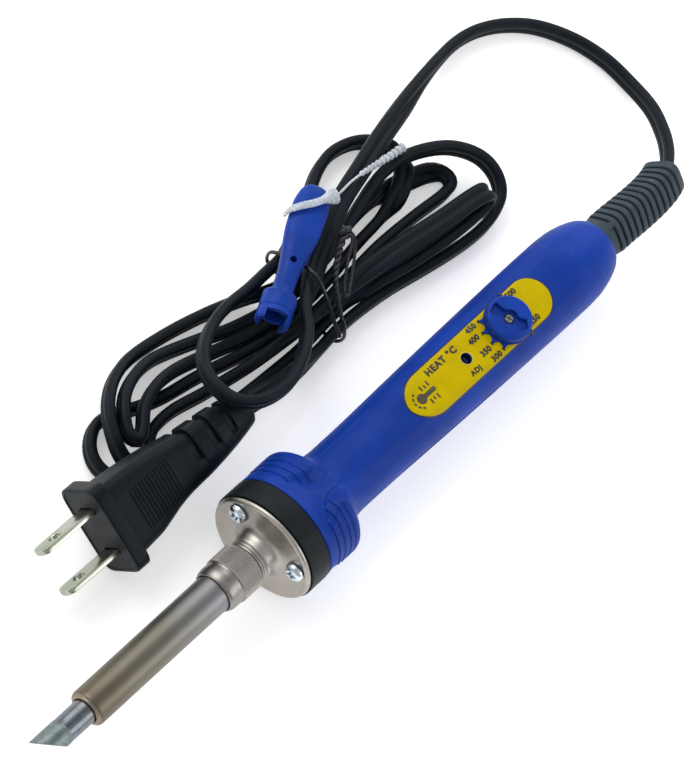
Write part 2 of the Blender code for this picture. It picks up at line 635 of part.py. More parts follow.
FRONT_LOOP_HIGH = [
    (144, 41.5, 1.6, .5), (139, 38.2, 2.6, .8), (134.1, 33.6, 4.0, 1), (126.4, 29.2, 5.8, 1),
    (117.3, 26.6, 7.0, 1), (108.1, 28.2, 7.5, 1), (102.8, 33.2, 7.4, 1), (102.5, 40.2, 6.1, 1),
    (106.5, 46.6, 3.8, 1), (114.8, 51.2, .8, 1), (123.8, 53.2, -1.2, 1), (134, 53.2, -3.4, 1),
    (142.5, 53.6, -5.6, 1), (150, 54, -6.2, 1)]
REAR_LOOP_1 = [
    (158, 56.3, -7.5, 1), (166, 59, -10.4, 1), (173, 62.2, -12.8, 1), (180.5, 65.6, -13.6, 1),
    (187, 66.9, -13.6, 1), (192.6, 66, -13.4, 1), (197, 63.8, -13.2, .95), (200.4, 60, -12.8, .75),
    (201.6, 55.2, -11.4, .4), (199, 50, -10.6, .1), (192.4, 46.3, -11.5, .2), (184, 44.8, -13.5, 1),
    (173, 43.8, -13.6, 1), (162, 42.2, -13.2, 1), (150, 41.4, -12.4, 1)]
FRONT_HAIRPIN = [
    (140, 42.8, -13, 1), (130, 44.8, -13.6, 1), (118, 48.1, -13.2, 1), (106, 50.6, -10.6, 1),
    (97, 50.6, -8, 1), (90, 48.4, -7, 1), (85.5, 44.8, -7.2, 1), (82.4, 43.0, -7.4, 1), (81, 46, -7, 1),
    (83.6, 50.2, -6.6, 1), (88, 54, -7, 1), (94, 56.2, -8.6, 1), (101, 57, -11, 1), (108, 56, -12.8, 1),
    (119, 52.6, -13.6, 1), (128, 49.3, -13.6, 1), (140, 46.5, -13.2, 1), (150, 45.2, -12.4, 1)]
REAR_LOOP_2 = [
    (160, 46.2, -13.2, 1), (169, 48, -13.6, 1), (178, 49.6, -13.6, 1), (187, 50, -13.6, .9),
    (194.5, 49, -14.7, .2), (200.6, 47.6, -14.8, .1), (206, 45.6, -14.2, .4), (208.8, 42.4, -13.6, .8),
    (208.2, 39.2, -13.6, 1), (203.4, 38.4, -13.6, 1), (192, 39.2, -13.6, 1), (178, 39.6, -13.6, 1),
    (164, 38.7, -13.4, 1), (150, 37.6, -12.4, 1)]
FRONT_LOOP_LOW = [
    (143, 38.6, -13, 1), (127, 41.8, -13.6, 1), (111, 45.6, -13.6, 1), (100, 47.6, -13.6, 1),
    (92, 50, -13.6, 1), (85, 53, -13.6, 1), (79, 53.8, -13.6, 1), (74, 51, -13.6, 1),
    (71.4, 46.5, -13.6, 1), (71.8, 41.5, -13.6, 1), (75.5, 37.4, -13.6, 1), (81, 35, -13.6, 1),
    (90, 33.8, -13.6, 1), (100, 33.6, -13.6, 1), (112, 34, -13.6, 1), (125, 33.4, -13.6, 1),
    (138, 33.0, -13.2, 1), (150, 33.8, -12.4, 1)]
REAR_FOLD = [
    (158, 34.4, -10.9, .7), (167, 33.4, -8.9, .2), (180, 31, -8.5, .05), (193.5, 29.4, -8.4, 0),
    (203.4, 29.0, -8.4, 0), (208.4, 29.2, -8.0, 0), (210.2, 30, -6.4, 0), (208.4, 30.8, -4.8, 0),
    (203.4, 31.6, -4.5, 0), (193.5, 32.6, -4.4, 0), (183, 34, -4.3, .05), (172, 35.4, -4.2, .15),
    (162, 36.4, -4.5, .4), (155, 36.5, -5.3, .75), (150, 36.2, -6.2, 1)]
FRONT_LOOP_WIDE = [
    (143, 36.4, -6.6, 1), (134, 37.1, -8.4, 1), (123, 38.6, -11.6, 1), (109, 41.2, -13.4, 1),
    (98, 43.4, -13.6, 1), (90, 43, -13.6, 1), (85.5, 40.4, -13.6, 1), (81.4, 39.0, -13.0, 1),
    (77.8, 40.6, -11.8, 1), (76.8, 43.8, -9.6, 1), (77.5, 47.8, -7.4, 1), (80, 52.2, -6.8, 1),
    (84.4, 56.4, -7.4, 1), (91, 59.6, -9.6, 1), (100, 61, -12.4, 1), (113, 59.6, -13.6, 1),
    (126, 56.6, -13.6, 1), (137, 53, -13.3, 1), (141.5, 50.4, -10.9, 1), (146, 48, -7.8, 1),
    (150, 46.5, -6.4, 1)]
REAR_LOOP_3 = [
    (160, 46, -6.2, 1), (170, 48.4, -6.1, 1), (180, 51, -6, 1), (188, 52.7, -5.7, 1),
    (196.6, 52.7, -5.3, 1), (205.2, 49.9, -5.5, 1), (212.4, 45.6, -6.6, 1), (217.5, 39.4, -8.4, 1),
    (218.8, 33.1, -10.6, 1), (216.2, 27.8, -12.4, 1), (209.6, 25, -13.4, 1), (202, 24.5, -13.6, 1),
    (192.9, 25.4, -13.6, 1), (183, 27, -13.6, 1), (171.8, 29, -13.6, 1), (160, 30.1, -13.2, 1),
    (150, 30.1, -12.4, 1)]
TO_PLUG = [
    (142, 29.4, -12, 1), (133, 28.8, -9, .8), (124, 28.9, -5, .55), (117, 29.5, -2.4, .42),
    (109.9, 30.4, -1.15, .35)]
CORD = (FROM_IRON + FRONT_LOOP_HIGH + REAR_LOOP_1 + FRONT_HAIRPIN + REAR_LOOP_2 + FRONT_LOOP_LOW
        + REAR_FOLD + FRONT_LOOP_WIDE + REAR_LOOP_3 + TO_PLUG)


def build_cord():
    section = oval(CORD_HALF_W * CORD_SCALE, CORD_HALF_T * CORD_SCALE, 6, 0.85)
    rings = sweep_rings(spline(CORD, 6.0), lambda i: section)
    add("power_cord", *loft(rings), CORD_BLACK, sharp=60)


# ---------------------------------------------------------------- bushing, clamp and leads at the handle's rear end
BUSH_PATH = [(214.5, 0, 0, 0), (216.8, 0, 0, 0), (219.6, 0, 0, 0), (219.9, 0, 0, 0)]
BUSH_PATH += [(x, y, z, 0) for x, y, z, edge in FROM_IRON[3:8]]
BUSH_TURN = radians(40)   # roll of the square ribs about the cord
CLAMP_PATH = [(207.6, 0, 0, 0), (209.2, 0, 0, 0), (210.4, 0, 0, 0)]
MAINS_LEAD = [(205.4, 1.5, 0), (203.9, 2.2, .3), (202.6, 3.0, 1.0), (200.2, 3.2, 1.2)]


def bush_section(i, count):
    """Round where it sits in the handle, then a collar, then square ribs that shrink toward the cord end."""
    if i < 3:
        return oval(5.7, 5.7, 12)
    if i == 3:
        return oval(6.7, 6.7, 12)
    half = (5.8 if i % 2 else 5.1) - 0.4 * i / (count - 1)
    c, s = cos(BUSH_TURN), sin(BUSH_TURN)
    return [(a * c - b * s, a * s + b * c) for a, b in oval(half, half, 12, 0.6)]


def build_cord_entry():
    sleeve_on_cord("cord_bushing", BUSH_PATH, 2.3, bush_section, oval(3.4, 3.4, 12), BUSHING_GREY)
    sleeve_on_cord("cord_clamp", CLAMP_PATH, 2.0, lambda i, count: oval(5.0, 4.0, 12, 0.7),
                   oval(3.3, 2.0, 12, 0.85), CLAMP_WHITE)
    wire_pair("mains_lead", MAINS_LEAD, PART_BLACK, step=1.5, radius=0.8)


# ---------------------------------------------------------------- plug
PLUG_AXIS = Vector((-0.9985, 0.02, -0.04)).normalized()    # from plug body toward the blade ends
PLUG_FACE = Vector((53.5, 31.6, -2.95))
PLUG_UP = Vector((-0.015, 0.9, 0.436)).cross(PLUG_AXIS).normalized()    # across the thin side, upward
PLUG_WIDE = PLUG_AXIS.cross(PLUG_UP).normalized()                       # across the wide side, toward +Y
BLADE_PITCH = 12.7
BLADE_W = 6.35
BLADE_T = 1.5
BLADE_OUT = 18.0          # length outside the plug
BLADE_IN = 10.0           # length inside it
BLADE_NOSE = 2.4          # length of the rounded end
BLADE_CORNER = 1.4        # part of the half width that follows a sine round the end
BLADE_HOLE_AT = 11.7
BLADE_HOLE_R = 1.5

PLUG_STATIONS = [     # distance behind the face, half width, half thickness
    (0.0, 12.5, 8.2), (0.6, 13.1, 8.8), (4.4, 13.1, 8.8), (5.0, 11.3, 6.8), (12.0, 10.9, 6.4),
    (20.0, 9.7, 6.1), (26.0, 8.7, 5.8), (31.0, 7.8, 5.4), (32.0, 6.9, 4.9), (34.0, 6.9, 4.9),
    (34.6, 7.7, 5.1), (38.6, 7.4, 4.9), (39.2, 6.4, 4.3), (41.2, 6.3, 4.3), (41.8, 7.0, 4.5),
    (46.0, 6.6, 4.2), (46.6, 5.6, 3.6), (48.6, 5.4, 3.6), (49.2, 5.9, 3.6), (55.0, 4.6, 3.0)]


def blade_outline():
    """(along, across) points of a blade with a rounded end."""
    outline = [(-BLADE_IN, -BLADE_W / 2)]
    for k in range(7):
        a = radians(-90 + 180 * k / 6)
        across = (BLADE_W / 2 - BLADE_CORNER) * max(-1, min(1, a)) + BLADE_CORNER * sin(a)
        outline.append((BLADE_OUT - BLADE_NOSE + BLADE_NOSE * cos(a), across))
    outline.append((-BLADE_IN, BLADE_W / 2))
    return outline


def build_plug():
    rings = []
    for s, half_w, half_t in PLUG_STATIONS:
        centre = PLUG_FACE - PLUG_AXIS * s
        rings.append([centre + PLUG_WIDE * a + PLUG_UP * b for a, b in oval(half_w, half_t, 16, 0.45)])
    plug = add("plug_body", *loft(rings), PLUG_BLACK)
    axes = (PLUG_AXIS, PLUG_UP, PLUG_WIDE)
    slot = (2 * (BLADE_IN + 0.4), BLADE_W + 2 * GAP, BLADE_T + 2 * GAP)
    for i, side in ((1, 1), (2, -1)):
        root = PLUG_FACE + PLUG_WIDE * side * BLADE_PITCH / 2
        cut(plug, box(f"cut_blade_{i}", root, slot, PLUG_BLACK, axes))
        blade = prism(f"plug_blade_{i}", blade_outline(), -BLADE_T / 2, BLADE_T / 2, BLADE_NICKEL, root, axes)
        cut(blade, turned(f"cut_blade_hole_{i}", rod(-3, 3, BLADE_HOLE_R), BLADE_NICKEL, 12,
                          base=root + PLUG_AXIS * BLADE_HOLE_AT, axis=PLUG_WIDE))


# ---------------------------------------------------------------- twist tie round the coil
TWIST_TIE = [         # x, y, z, radius
    (165.0, 47.4, 4.7, 1.3), (163.2, 46.5, 4.7, 1.6), (161.4, 45.6, 4.6, 0.9), (158, 43.8, 4.2, 0.9),
    (154, 40.7, 2.8, 0.9), (151.5, 37, 0.4, 0.8), (150.4, 33, -3.4, 0.7), (149.8, 28.8, -7.6, 0.5),
    (149.6, 27.3, -11.5, 0.5), (149.4, 28.6, -15.3, 0.5), (149.2, 32, -16.05, 0.48),
    (149, 40, -16.1, 0.48), (148.8, 46, -16.05, 0.48), (148.6, 48.6, -13.6, 0.5),
    (148.5, 51.6, -10.8, 0.5), (148.4, 56.0, -9.8, 0.5), (148.3, 57.0, -5.6, 0.5),
    (148.2, 55.0, -2.2, 0.5), (148.1, 51, .8, 0.5), (148, 47.6, 3.4, 0.5), (147.8, 43, 4.7, 0.5),
    (147.5, 38.6, 2.4, 0.5), (147.2, 34.4, -1.6, 0.5), (147.2, 31.0, -5.0, 0.5),
    (147.4, 28.0, -8.2, 0.5)]


def build_twist_tie():
    wire("twist_tie", TWIST_TIE, TIE_BLACK, step=2.2)


# ---------------------------------------------------------------- dial key and its loop tie
KEY_START = Vector((166.0, 60.4, 6.2))
KEY_TOWARD = Vector((128.0, 41.6, 4.4))      # a point the key's axis aims at
KEY_LEN = 42.5
KEY_AXIS = (KEY_TOWARD - KEY_START).normalized()
KEY_SIDE = KEY_AXIS.cross(Z_AXIS).normalized()        # level, toward +Y
KEY_UP = KEY_SIDE.cross(KEY_AXIS).normalized()

KEY_STATIONS = [      # distance from KEY_START, half width, half thickness
    (0.0, 1.6, 1.2), (0.7, 3.0, 2.0), (2.6, 4.2, 2.5), (7.0, 5.0, 2.7), (13.0, 4.9, 2.7),
    (19.0, 4.1, 2.7), (24.0, 3.3, 2.7), (28.0, 2.9, 2.7), (33.0, 2.9, 2.7), (33.5, 4.5, 4.5),
    (34.1, 4.8, 4.8), (42.0, 4.8, 4.8), (KEY_LEN, 4.5, 4.5)]

LOOP_ON_KEY = [       # distance along the key, offset to its side, height above KEY_START, radius
    (10.6, 5.9, -1.2, 0.5), (10.2, 5.3, 1.9, 0.5), (8.6, 2.8, 3.5, 0.5), (6.0, -0.6, 3.9, 0.5),
    (4.2, -2.6, 4.0, 0.9), (2.6, -4.3, 3.9, 1.9), (1.9, -5.1, 3.6, 0.5)]
LOOP_TAIL = [         # x, y, z, radius
    (170.5, 55.4, 6.6, 0.4), (176, 55.9, 3.9, 0.4), (181.5, 55.8, 2.2, 0.5), (183.2, 55.6, 1.8, 1.0),
    (185.0, 55.4, 1.4, 0.6), (186.8, 55.2, 1.0, 1.1), (188.6, 55.0, 0.7, 0.7), (190.4, 54.8, 0.4, 1.1),
    (192.2, 54.6, 0.1, 0.7), (194.0, 54.4, -0.2, 1.1), (195.6, 54.3, -0.4, 0.7),
    (197.2, 54.1, -0.6, 0.9)]


def build_key():
    rings = []
    for s, half_w, half_t in KEY_STATIONS:
        centre = KEY_START + KEY_AXIS * s
        rings.append([centre + KEY_SIDE * a + KEY_UP * b for a, b in oval(half_w, half_t, 20)])
    key = add("knob_key", *loft(rings), KEY_BLUE)
    end = KEY_START + KEY_AXIS * KEY_LEN
    cut(key, box("cut_key_gap", end, (7.4, 11.0, 5.6), KEY_BLUE, (KEY_AXIS, KEY_UP, KEY_SIDE)))
    cut(key, turned("cut_key_socket", rod(-6.5, 1, 3.0), KEY_BLUE, 16, base=end, axis=KEY_AXIS))
    cut(key, turned("cut_key_hole", rod(-5, 5, 0.9), KEY_BLUE, 12, base=KEY_START + KEY_AXIS * 23.5,
                    axis=KEY_UP))


def build_loop_tie():
    path = []
    for s, side, height, radius in LOOP_ON_KEY:
        point = KEY_START + KEY_AXIS * s + KEY_SIDE * side
        path.append((point.x, point.y, KEY_START.z + height, radius))
    wire("key_loop_tie", path + LOOP_TAIL, LOOP_CLEAR, step=2.5)


build_tip()
build_heater_sleeve()
build_retaining_nut()
build_flange()
build_insulating_ring()
build_screws()
build_handle()
build_label()
build_knob()
build_shaft()
build_trimmer_rotor()
build_electronics()
build_heater()
build_heater_holder()
build_leads()
build_cord()
build_cord_entry()
build_plug()
build_twist_tie()
build_key()
build_loop_tie()
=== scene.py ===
"""Temperature-controlled soldering iron with its cord, plug, ties and dial key.

Lengths are millimetres in the iron's own frame unless noted. The iron lies along x: the tip's
slanted face is at x = 0 and the handle ends near x = 219. The dial and label face +Z, the coiled
cord and the plug lie on the +Y side, and the plug's blades point toward -X.
"""
import bmesh
import bpy
import numpy as np
from math import atan2, cos, degrees, exp, pi, radians, sin, sqrt
from mathutils import Matrix, Vector


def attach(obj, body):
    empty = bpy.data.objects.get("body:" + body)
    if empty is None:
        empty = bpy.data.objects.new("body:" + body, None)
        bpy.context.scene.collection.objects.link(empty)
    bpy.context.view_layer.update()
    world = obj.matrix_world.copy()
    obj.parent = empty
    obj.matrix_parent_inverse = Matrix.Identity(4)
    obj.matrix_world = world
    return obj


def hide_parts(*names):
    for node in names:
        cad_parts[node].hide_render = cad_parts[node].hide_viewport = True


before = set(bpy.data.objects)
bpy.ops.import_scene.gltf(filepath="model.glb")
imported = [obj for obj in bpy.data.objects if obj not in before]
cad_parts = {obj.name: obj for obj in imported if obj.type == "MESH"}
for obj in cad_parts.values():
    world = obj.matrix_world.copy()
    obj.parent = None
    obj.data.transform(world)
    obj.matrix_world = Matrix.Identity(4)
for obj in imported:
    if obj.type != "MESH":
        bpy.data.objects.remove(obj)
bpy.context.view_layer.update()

MM = 0.001
X_AXIS, Z_AXIS = (1, 0, 0), (0, 0, 1)

# Dimensions shared by several pieces
TIP_R = 3.7
SLEEVE_R = 5.45
SCREW_CIRCLE = 12.1
SCREW_ANGLES = (30.0, 150.0, 270.0)      # degrees from +Y toward +Z
SCREW_PLACES = [(0, SCREW_CIRCLE * cos(radians(a)), SCREW_CIRCLE * sin(radians(a)))
                for a in SCREW_ANGLES]
HANDLE_X, HANDLE_END_X = 90.6, 219.5
RIM_R = 16.65                            # front rim of the handle, which rests on the bench
BENCH_Z = -RIM_R
PAD_Z = 9.75                             # flat top of the grip
CAVITY_R = 8.3
KNOB_X, TRIMMER_X = 176.9, 160.2
LABEL_X0, LABEL_X1, LABEL_HALF = 137.2, 193.1, 6.4
LABEL_LIFT = 0.30
KNOB_HOLE_R = 3.62                       # through the label and the skirt


# ======================================================================= shape helpers
def unit(v):
    v = np.asarray(v, float)
    return v / np.linalg.norm(v)


def finish_shading(me, sharp=38.0, smooth=True):
    me.polygons.foreach_set("use_smooth", [smooth] * len(me.polygons))
    if smooth:
        me.set_sharp_from_angle(angle=radians(sharp))
    me.update()


def add_object(name, me):
    ob = bpy.data.objects.new(name, me)
    bpy.context.scene.collection.objects.link(ob)
    return ob


def build(name, points, faces, surface=None, sharp=38.0, smooth=True):
    me = bpy.data.meshes.new(name)
    me.from_pydata((np.asarray(points, float) * MM).tolist(), [], faces)
    bm = bmesh.new()
    bm.from_mesh(me)
    bmesh.ops.recalc_face_normals(bm, faces=bm.faces)
    bm.to_mesh(me)
    bm.free()
    if surface is not None:
        me.materials.append(surface.material)
    finish_shading(me, sharp, smooth)
    return add_object(name, me)


def lofted(name, rings, surface=None, sharp=38.0, loop=False):
    """Skin over equal rings; loop joins the last to the first, otherwise both ends are capped."""
    rings = np.asarray(rings, float)
    count, sides = rings.shape[:2]
    row = np.arange(count if loop else count - 1)[:, None]
    column = np.arange(sides)[None, :]
    after, beside = (row + 1) % count, (column + 1) % sides
    quads = np.stack([row * sides + column, row * sides + beside,
                      after * sides + beside, after * sides + column], -1)
    faces = quads.reshape(-1, 4).tolist()
    if not loop:
        faces.append(list(range(sides))[::-1])
        faces.append([(count - 1) * sides + k for k in range(sides)])
    return build(name, rings.reshape(-1, 3), faces, surface, sharp)


def axes_of(direction):
    """Two side directions and the direction itself."""
    along = Vector(direction).normalized()
    reference = Vector((0, 0, 1)) if abs(along.z) < 0.9 else Vector((0, 1, 0))
    side = reference.cross(along).normalized()
    return np.array(side), np.array(along.cross(side).normalized()), np.array(along)


def rounded(corners, closed=True, seg=4):
    """Corners (a, b, fillet) turned into a polyline; a missing fillet keeps the corner sharp."""
    out, n = [], len(corners)
    for i, row in enumerate(corners):
        fillet = row[2] if len(row) > 2 else 0.0
        corner = np.array(row[:2], float)
        if fillet <= 0 or (not closed and i in (0, n - 1)):
            out.append(tuple(corner))
            continue
        before = np.array(corners[(i - 1) % n][:2], float) - corner
        after = np.array(corners[(i + 1) % n][:2], float) - corner
        before_length, after_length = np.linalg.norm(before), np.linalg.norm(after)
        fillet = min(fillet, 0.48 * before_length, 0.48 * after_length)
        start = corner + before / before_length * fillet
        end = corner + after / after_length * fillet
        for j in range(seg + 1):
            t = j / seg
            out.append(tuple((1 - t) ** 2 * start + 2 * t * (1 - t) * corner + t * t * end))
    return out


def turned(name, profile, surface=None, sides=96, base=(0, 0, 0), axis=X_AXIS, ring=False,
           radius_at=None, sharp=38.0, phase=0.0):
    """Solid of revolution of (distance along axis, radius); ring closes the profile on itself."""
    side, up, along = axes_of(axis)
    profile = np.asarray(profile, float)
    angle = 2 * pi * (np.arange(sides) + phase) / sides
    r = np.maximum(profile[:, 1], 0.02)[:, None] * np.ones(sides)[None, :]
    s = profile[:, 0][:, None] * np.ones(sides)[None, :]
    if radius_at is not None:
        r = radius_at(s, angle[None, :], r)
    spoke = np.cos(angle)[None, :, None] * side + np.sin(angle)[None, :, None] * up
    points = np.array(base, float) + s[..., None] * along + spoke * r[..., None]
    return lofted(name, points, surface, sharp, loop=ring)


def drill(profile, sides, base, axis=X_AXIS, phase=0.0):
    """Round cutting tool."""
    return turned("tool", profile, sides=sides, base=base, axis=axis, phase=phase)


def block(centre, size, axes=((1, 0, 0), (0, 1, 0), (0, 0, 1)), taper=1.0):
    """Box-shaped cutting tool; taper scales its end on the positive first axis."""
    a, b, c = (np.array(axis, float) for axis in axes)
    points = []
    for i in (-1, 1):
        for j in (-1, 1):
            for k in (-1, 1):
                t = taper if i > 0 else 1.0
                points.append(np.array(centre, float) + a * i * size[0] / 2
                              + b * j * size[1] / 2 * t + c * k * size[2] / 2 * t)
    faces = [(0, 1, 3, 2), (4, 6, 7, 5), (0, 4, 5, 1), (2, 3, 7, 6), (0, 2, 6, 4), (1, 5, 7, 3)]
    return build("tool", points, faces, smooth=False)


def prism_faces(n):
    """Faces between two outlines of n points."""
    return [list(range(n))[::-1], list(range(n, 2 * n))] + [
        (k, (k + 1) % n, n + (k + 1) % n, n + k) for k in range(n)]


def prism(lower, upper, z0, z1):
    """Cutting tool between two outlines at heights z0 and z1."""
    points = [(x, y, z0) for x, y in lower] + [(x, y, z1) for x, y in upper]
    return build("tool", points, prism_faces(len(lower)), smooth=False)


def cut(ob, tools, sharp=38.0):
    """Takes the tools out of the object, then removes them."""
    for tool in tools:
        modifier = ob.modifiers.new("cut", "BOOLEAN")
        modifier.operation = "DIFFERENCE"
        modifier.solver = "EXACT"
        modifier.object = tool
    bpy.context.view_layer.update()
    evaluated = ob.evaluated_get(bpy.context.evaluated_depsgraph_get())
    me = bpy.data.meshes.new_from_object(evaluated)
    ob.modifiers.clear()
    ob.data = me
    finish_shading(me, sharp)
    for tool in tools:
        bpy.data.objects.remove(tool, do_unlink=True)
    return ob


def join(name, obs, surface):
    """One object from several meshes, each of which stays its own closed shell."""
    points, faces, base = [], [], 0
    for ob in obs:
        co = np.zeros(len(ob.data.vertices) * 3)
        ob.data.vertices.foreach_get("co", co)
        points.append(co.reshape(-1, 3))
        faces += [[i + base for i in p.vertices] for p in ob.data.polygons]
        base += len(ob.data.vertices)
    me = bpy.data.meshes.new(name)
    me.from_pydata(np.concatenate(points).tolist(), [], faces)
    me.materials.append(surface.material)
    finish_shading(me)
    for ob in obs:
        bpy.data.objects.remove(ob, do_unlink=True)
    return add_object(name, me)


def read_table(rows, x, column=1):
    """Monotone cubic reading of one column against the first; x may be an array."""
    knots = np.array([row[0] for row in rows], float)
    values = np.array([row[column] for row in rows], float)
    widths = np.diff(knots)
    slopes = np.diff(values) / widths
    tangent = np.zeros(len(knots))
    tangent[0], tangent[-1] = slopes[0], slopes[-1]
    for i in range(1, len(knots) - 1):
        if slopes[i - 1] * slopes[i] > 0:
            w1 = 2 * widths[i] + widths[i - 1]
            w2 = widths[i] + 2 * widths[i - 1]
            tangent[i] = (w1 + w2) / (w1 / slopes[i - 1] + w2 / slopes[i])
    x = np.clip(np.asarray(x, float), knots[0], knots[-1])
    i = np.clip(np.searchsorted(knots, x, side="right") - 1, 0, len(widths) - 1)
    t = (x - knots[i]) / widths[i]
    return ((1 + 2 * t) * (1 - t) ** 2 * values[i] + t * (1 - t) ** 2 * widths[i] * tangent[i]
            + t * t * (3 - 2 * t) * values[i + 1] + t * t * (t - 1) * widths[i] * tangent[i + 1])


def smooth_step(a, b, x):
    """0 at a and 1 at b; a may be the larger."""
    t = np.clip((np.asarray(x, float) - a) / (b - a), 0.0, 1.0)
    return t * t * (3 - 2 * t)


def spline(control, step):
    """Catmull-Rom through rows that start x, y, z; points come back about step mm apart."""
    rows = [list(map(float, row)) for row in control]
    before = [2 * a - b for a, b in zip(rows[0], rows[1])]
    after = [2 * a - b for a, b in zip(rows[-1], rows[-2])]
    rows = [before] + rows + [after]
    out = []
    for i in range(1, len(rows) - 2):
        p0, p1, p2, p3 = rows[i - 1:i + 3]
        distance = sqrt(sum((p2[k] - p1[k]) ** 2 for k in range(3)))
        n = max(1, round(distance / step))
        for j in range(n):
            t = j / n
            out.append([0.5 * (2 * b + (c - a) * t + (2 * a - 5 * b + 4 * c - d) * t * t
                               + (3 * b - a - 3 * c + d) * t ** 3)
                        for a, b, c, d in zip(p0, p1, p2, p3)])
    out.append(rows[-2])
    return out


def arc_lengths(points):
    steps = np.linalg.norm(np.diff(points[:, :3], axis=0), axis=1)
    return np.concatenate([[0], np.cumsum(steps)])


def tangents(path):
    points = np.asarray(path, float)[:, :3]
    along = np.zeros_like(points)
    along[1:-1] = points[2:] - points[:-2]
    along[0] = points[1] - points[0]
    along[-1] = points[-1] - points[-2]
    return points, along / np.linalg.norm(along, axis=1)[:, None]


def sweep(path, sections):
    """Rings of (wide, thick) sections along rows (x, y, z, edge); edge 0 is flat, 1 upright."""
    points, along = tangents(path)
    rings = []
    for i, section in enumerate(sections):
        edge = path[i][3]
        wide = unit((0, 1 - edge, edge))
        wide = unit(wide - along[i] * wide.dot(along[i]))
        thick = np.cross(along[i], wide)
        section = np.asarray(section, float)
        rings.append(points[i] + section[:, :1] * wide + section[:, 1:] * thick)
    return rings


def carried(path):
    """Points of a path with a twist-free pair of side directions."""
    points, along = tangents(path)
    sides = np.zeros_like(points)
    side = axes_of(along[0])[0]
    for i in range(len(points)):
        side = unit(side - along[i] * side.dot(along[i]))
        sides[i] = side
    return points, sides, np.cross(along, sides)


def tube_rings(points, side, other, radius, sides, flat=1.0):
    """Rings round points; flat scales them along the other side direction."""
    angle = 2 * pi * np.arange(sides) / sides
    radius = (radius * np.ones(len(points)))[:, None, None]
    flat = (flat * np.ones(len(points)))[:, None, None]
    return points[:, None, :] + (np.cos(angle)[None, :, None] * side[:, None, :]
                                 + np.sin(angle)[None, :, None] * other[:, None, :] * flat) * radius


def wire_rings(path, radius, sides, flat=1.0):
    points, side, other = carried(path)
    return tube_rings(points, side, other, radius, sides, flat)


def ring_angles(n):
    return 2 * pi * (np.arange(n) + 0.5) / n


def oval(a, b, n, power=1.0):
    """Superellipse; a power below 1 squares it up."""
    c, s = np.cos(ring_angles(n)), np.sin(ring_angles(n))
    return np.stack([a * np.abs(c) ** power * np.sign(c), b * np.abs(s) ** power * np.sign(s)], -1)


def circle(x, radius, angle):
    """Ring about the iron's axis; x and radius may vary with the angle."""
    return np.stack([x * np.ones(len(angle)), radius * np.cos(angle), radius * np.sin(angle)], -1)


def place(ob, body, node=None):
    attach(ob, body)
    if node:
        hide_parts(node)


# ======================================================================= material helpers
class Nodes:
    """Writes shader nodes into a tree; arguments may be numbers, colours or sockets."""

    def __init__(self, tree):
        self.tree = tree

    def new(self, kind):
        return self.tree.nodes.new("ShaderNode" + kind)

    def feed(self, value, socket):
        if isinstance(value, bpy.types.NodeSocket):
            self.tree.links.new(value, socket)
        else:
            socket.default_value = (*value, 1) if isinstance(value, tuple) else value

    def math(self, operation, a, b=0.0):
        node = self.new("Math")
        node.operation = operation
        self.feed(a, node.inputs[0])
        self.feed(b, node.inputs[1])
        return node.outputs[0]

    def remap(self, value, low, high, to_low=0.0, to_high=1.0):
        """Smooth step by default, linear into any other range."""
        node = self.new("MapRange")
        node.interpolation_type = "SMOOTHSTEP" if (to_low, to_high) == (0.0, 1.0) else "LINEAR"
        self.feed(value, node.inputs["Value"])
        node.inputs["From Min"].default_value = low
        node.inputs["From Max"].default_value = high
        node.inputs["To Min"].default_value = to_low
        node.inputs["To Max"].default_value = to_high
        return node.outputs["Result"]


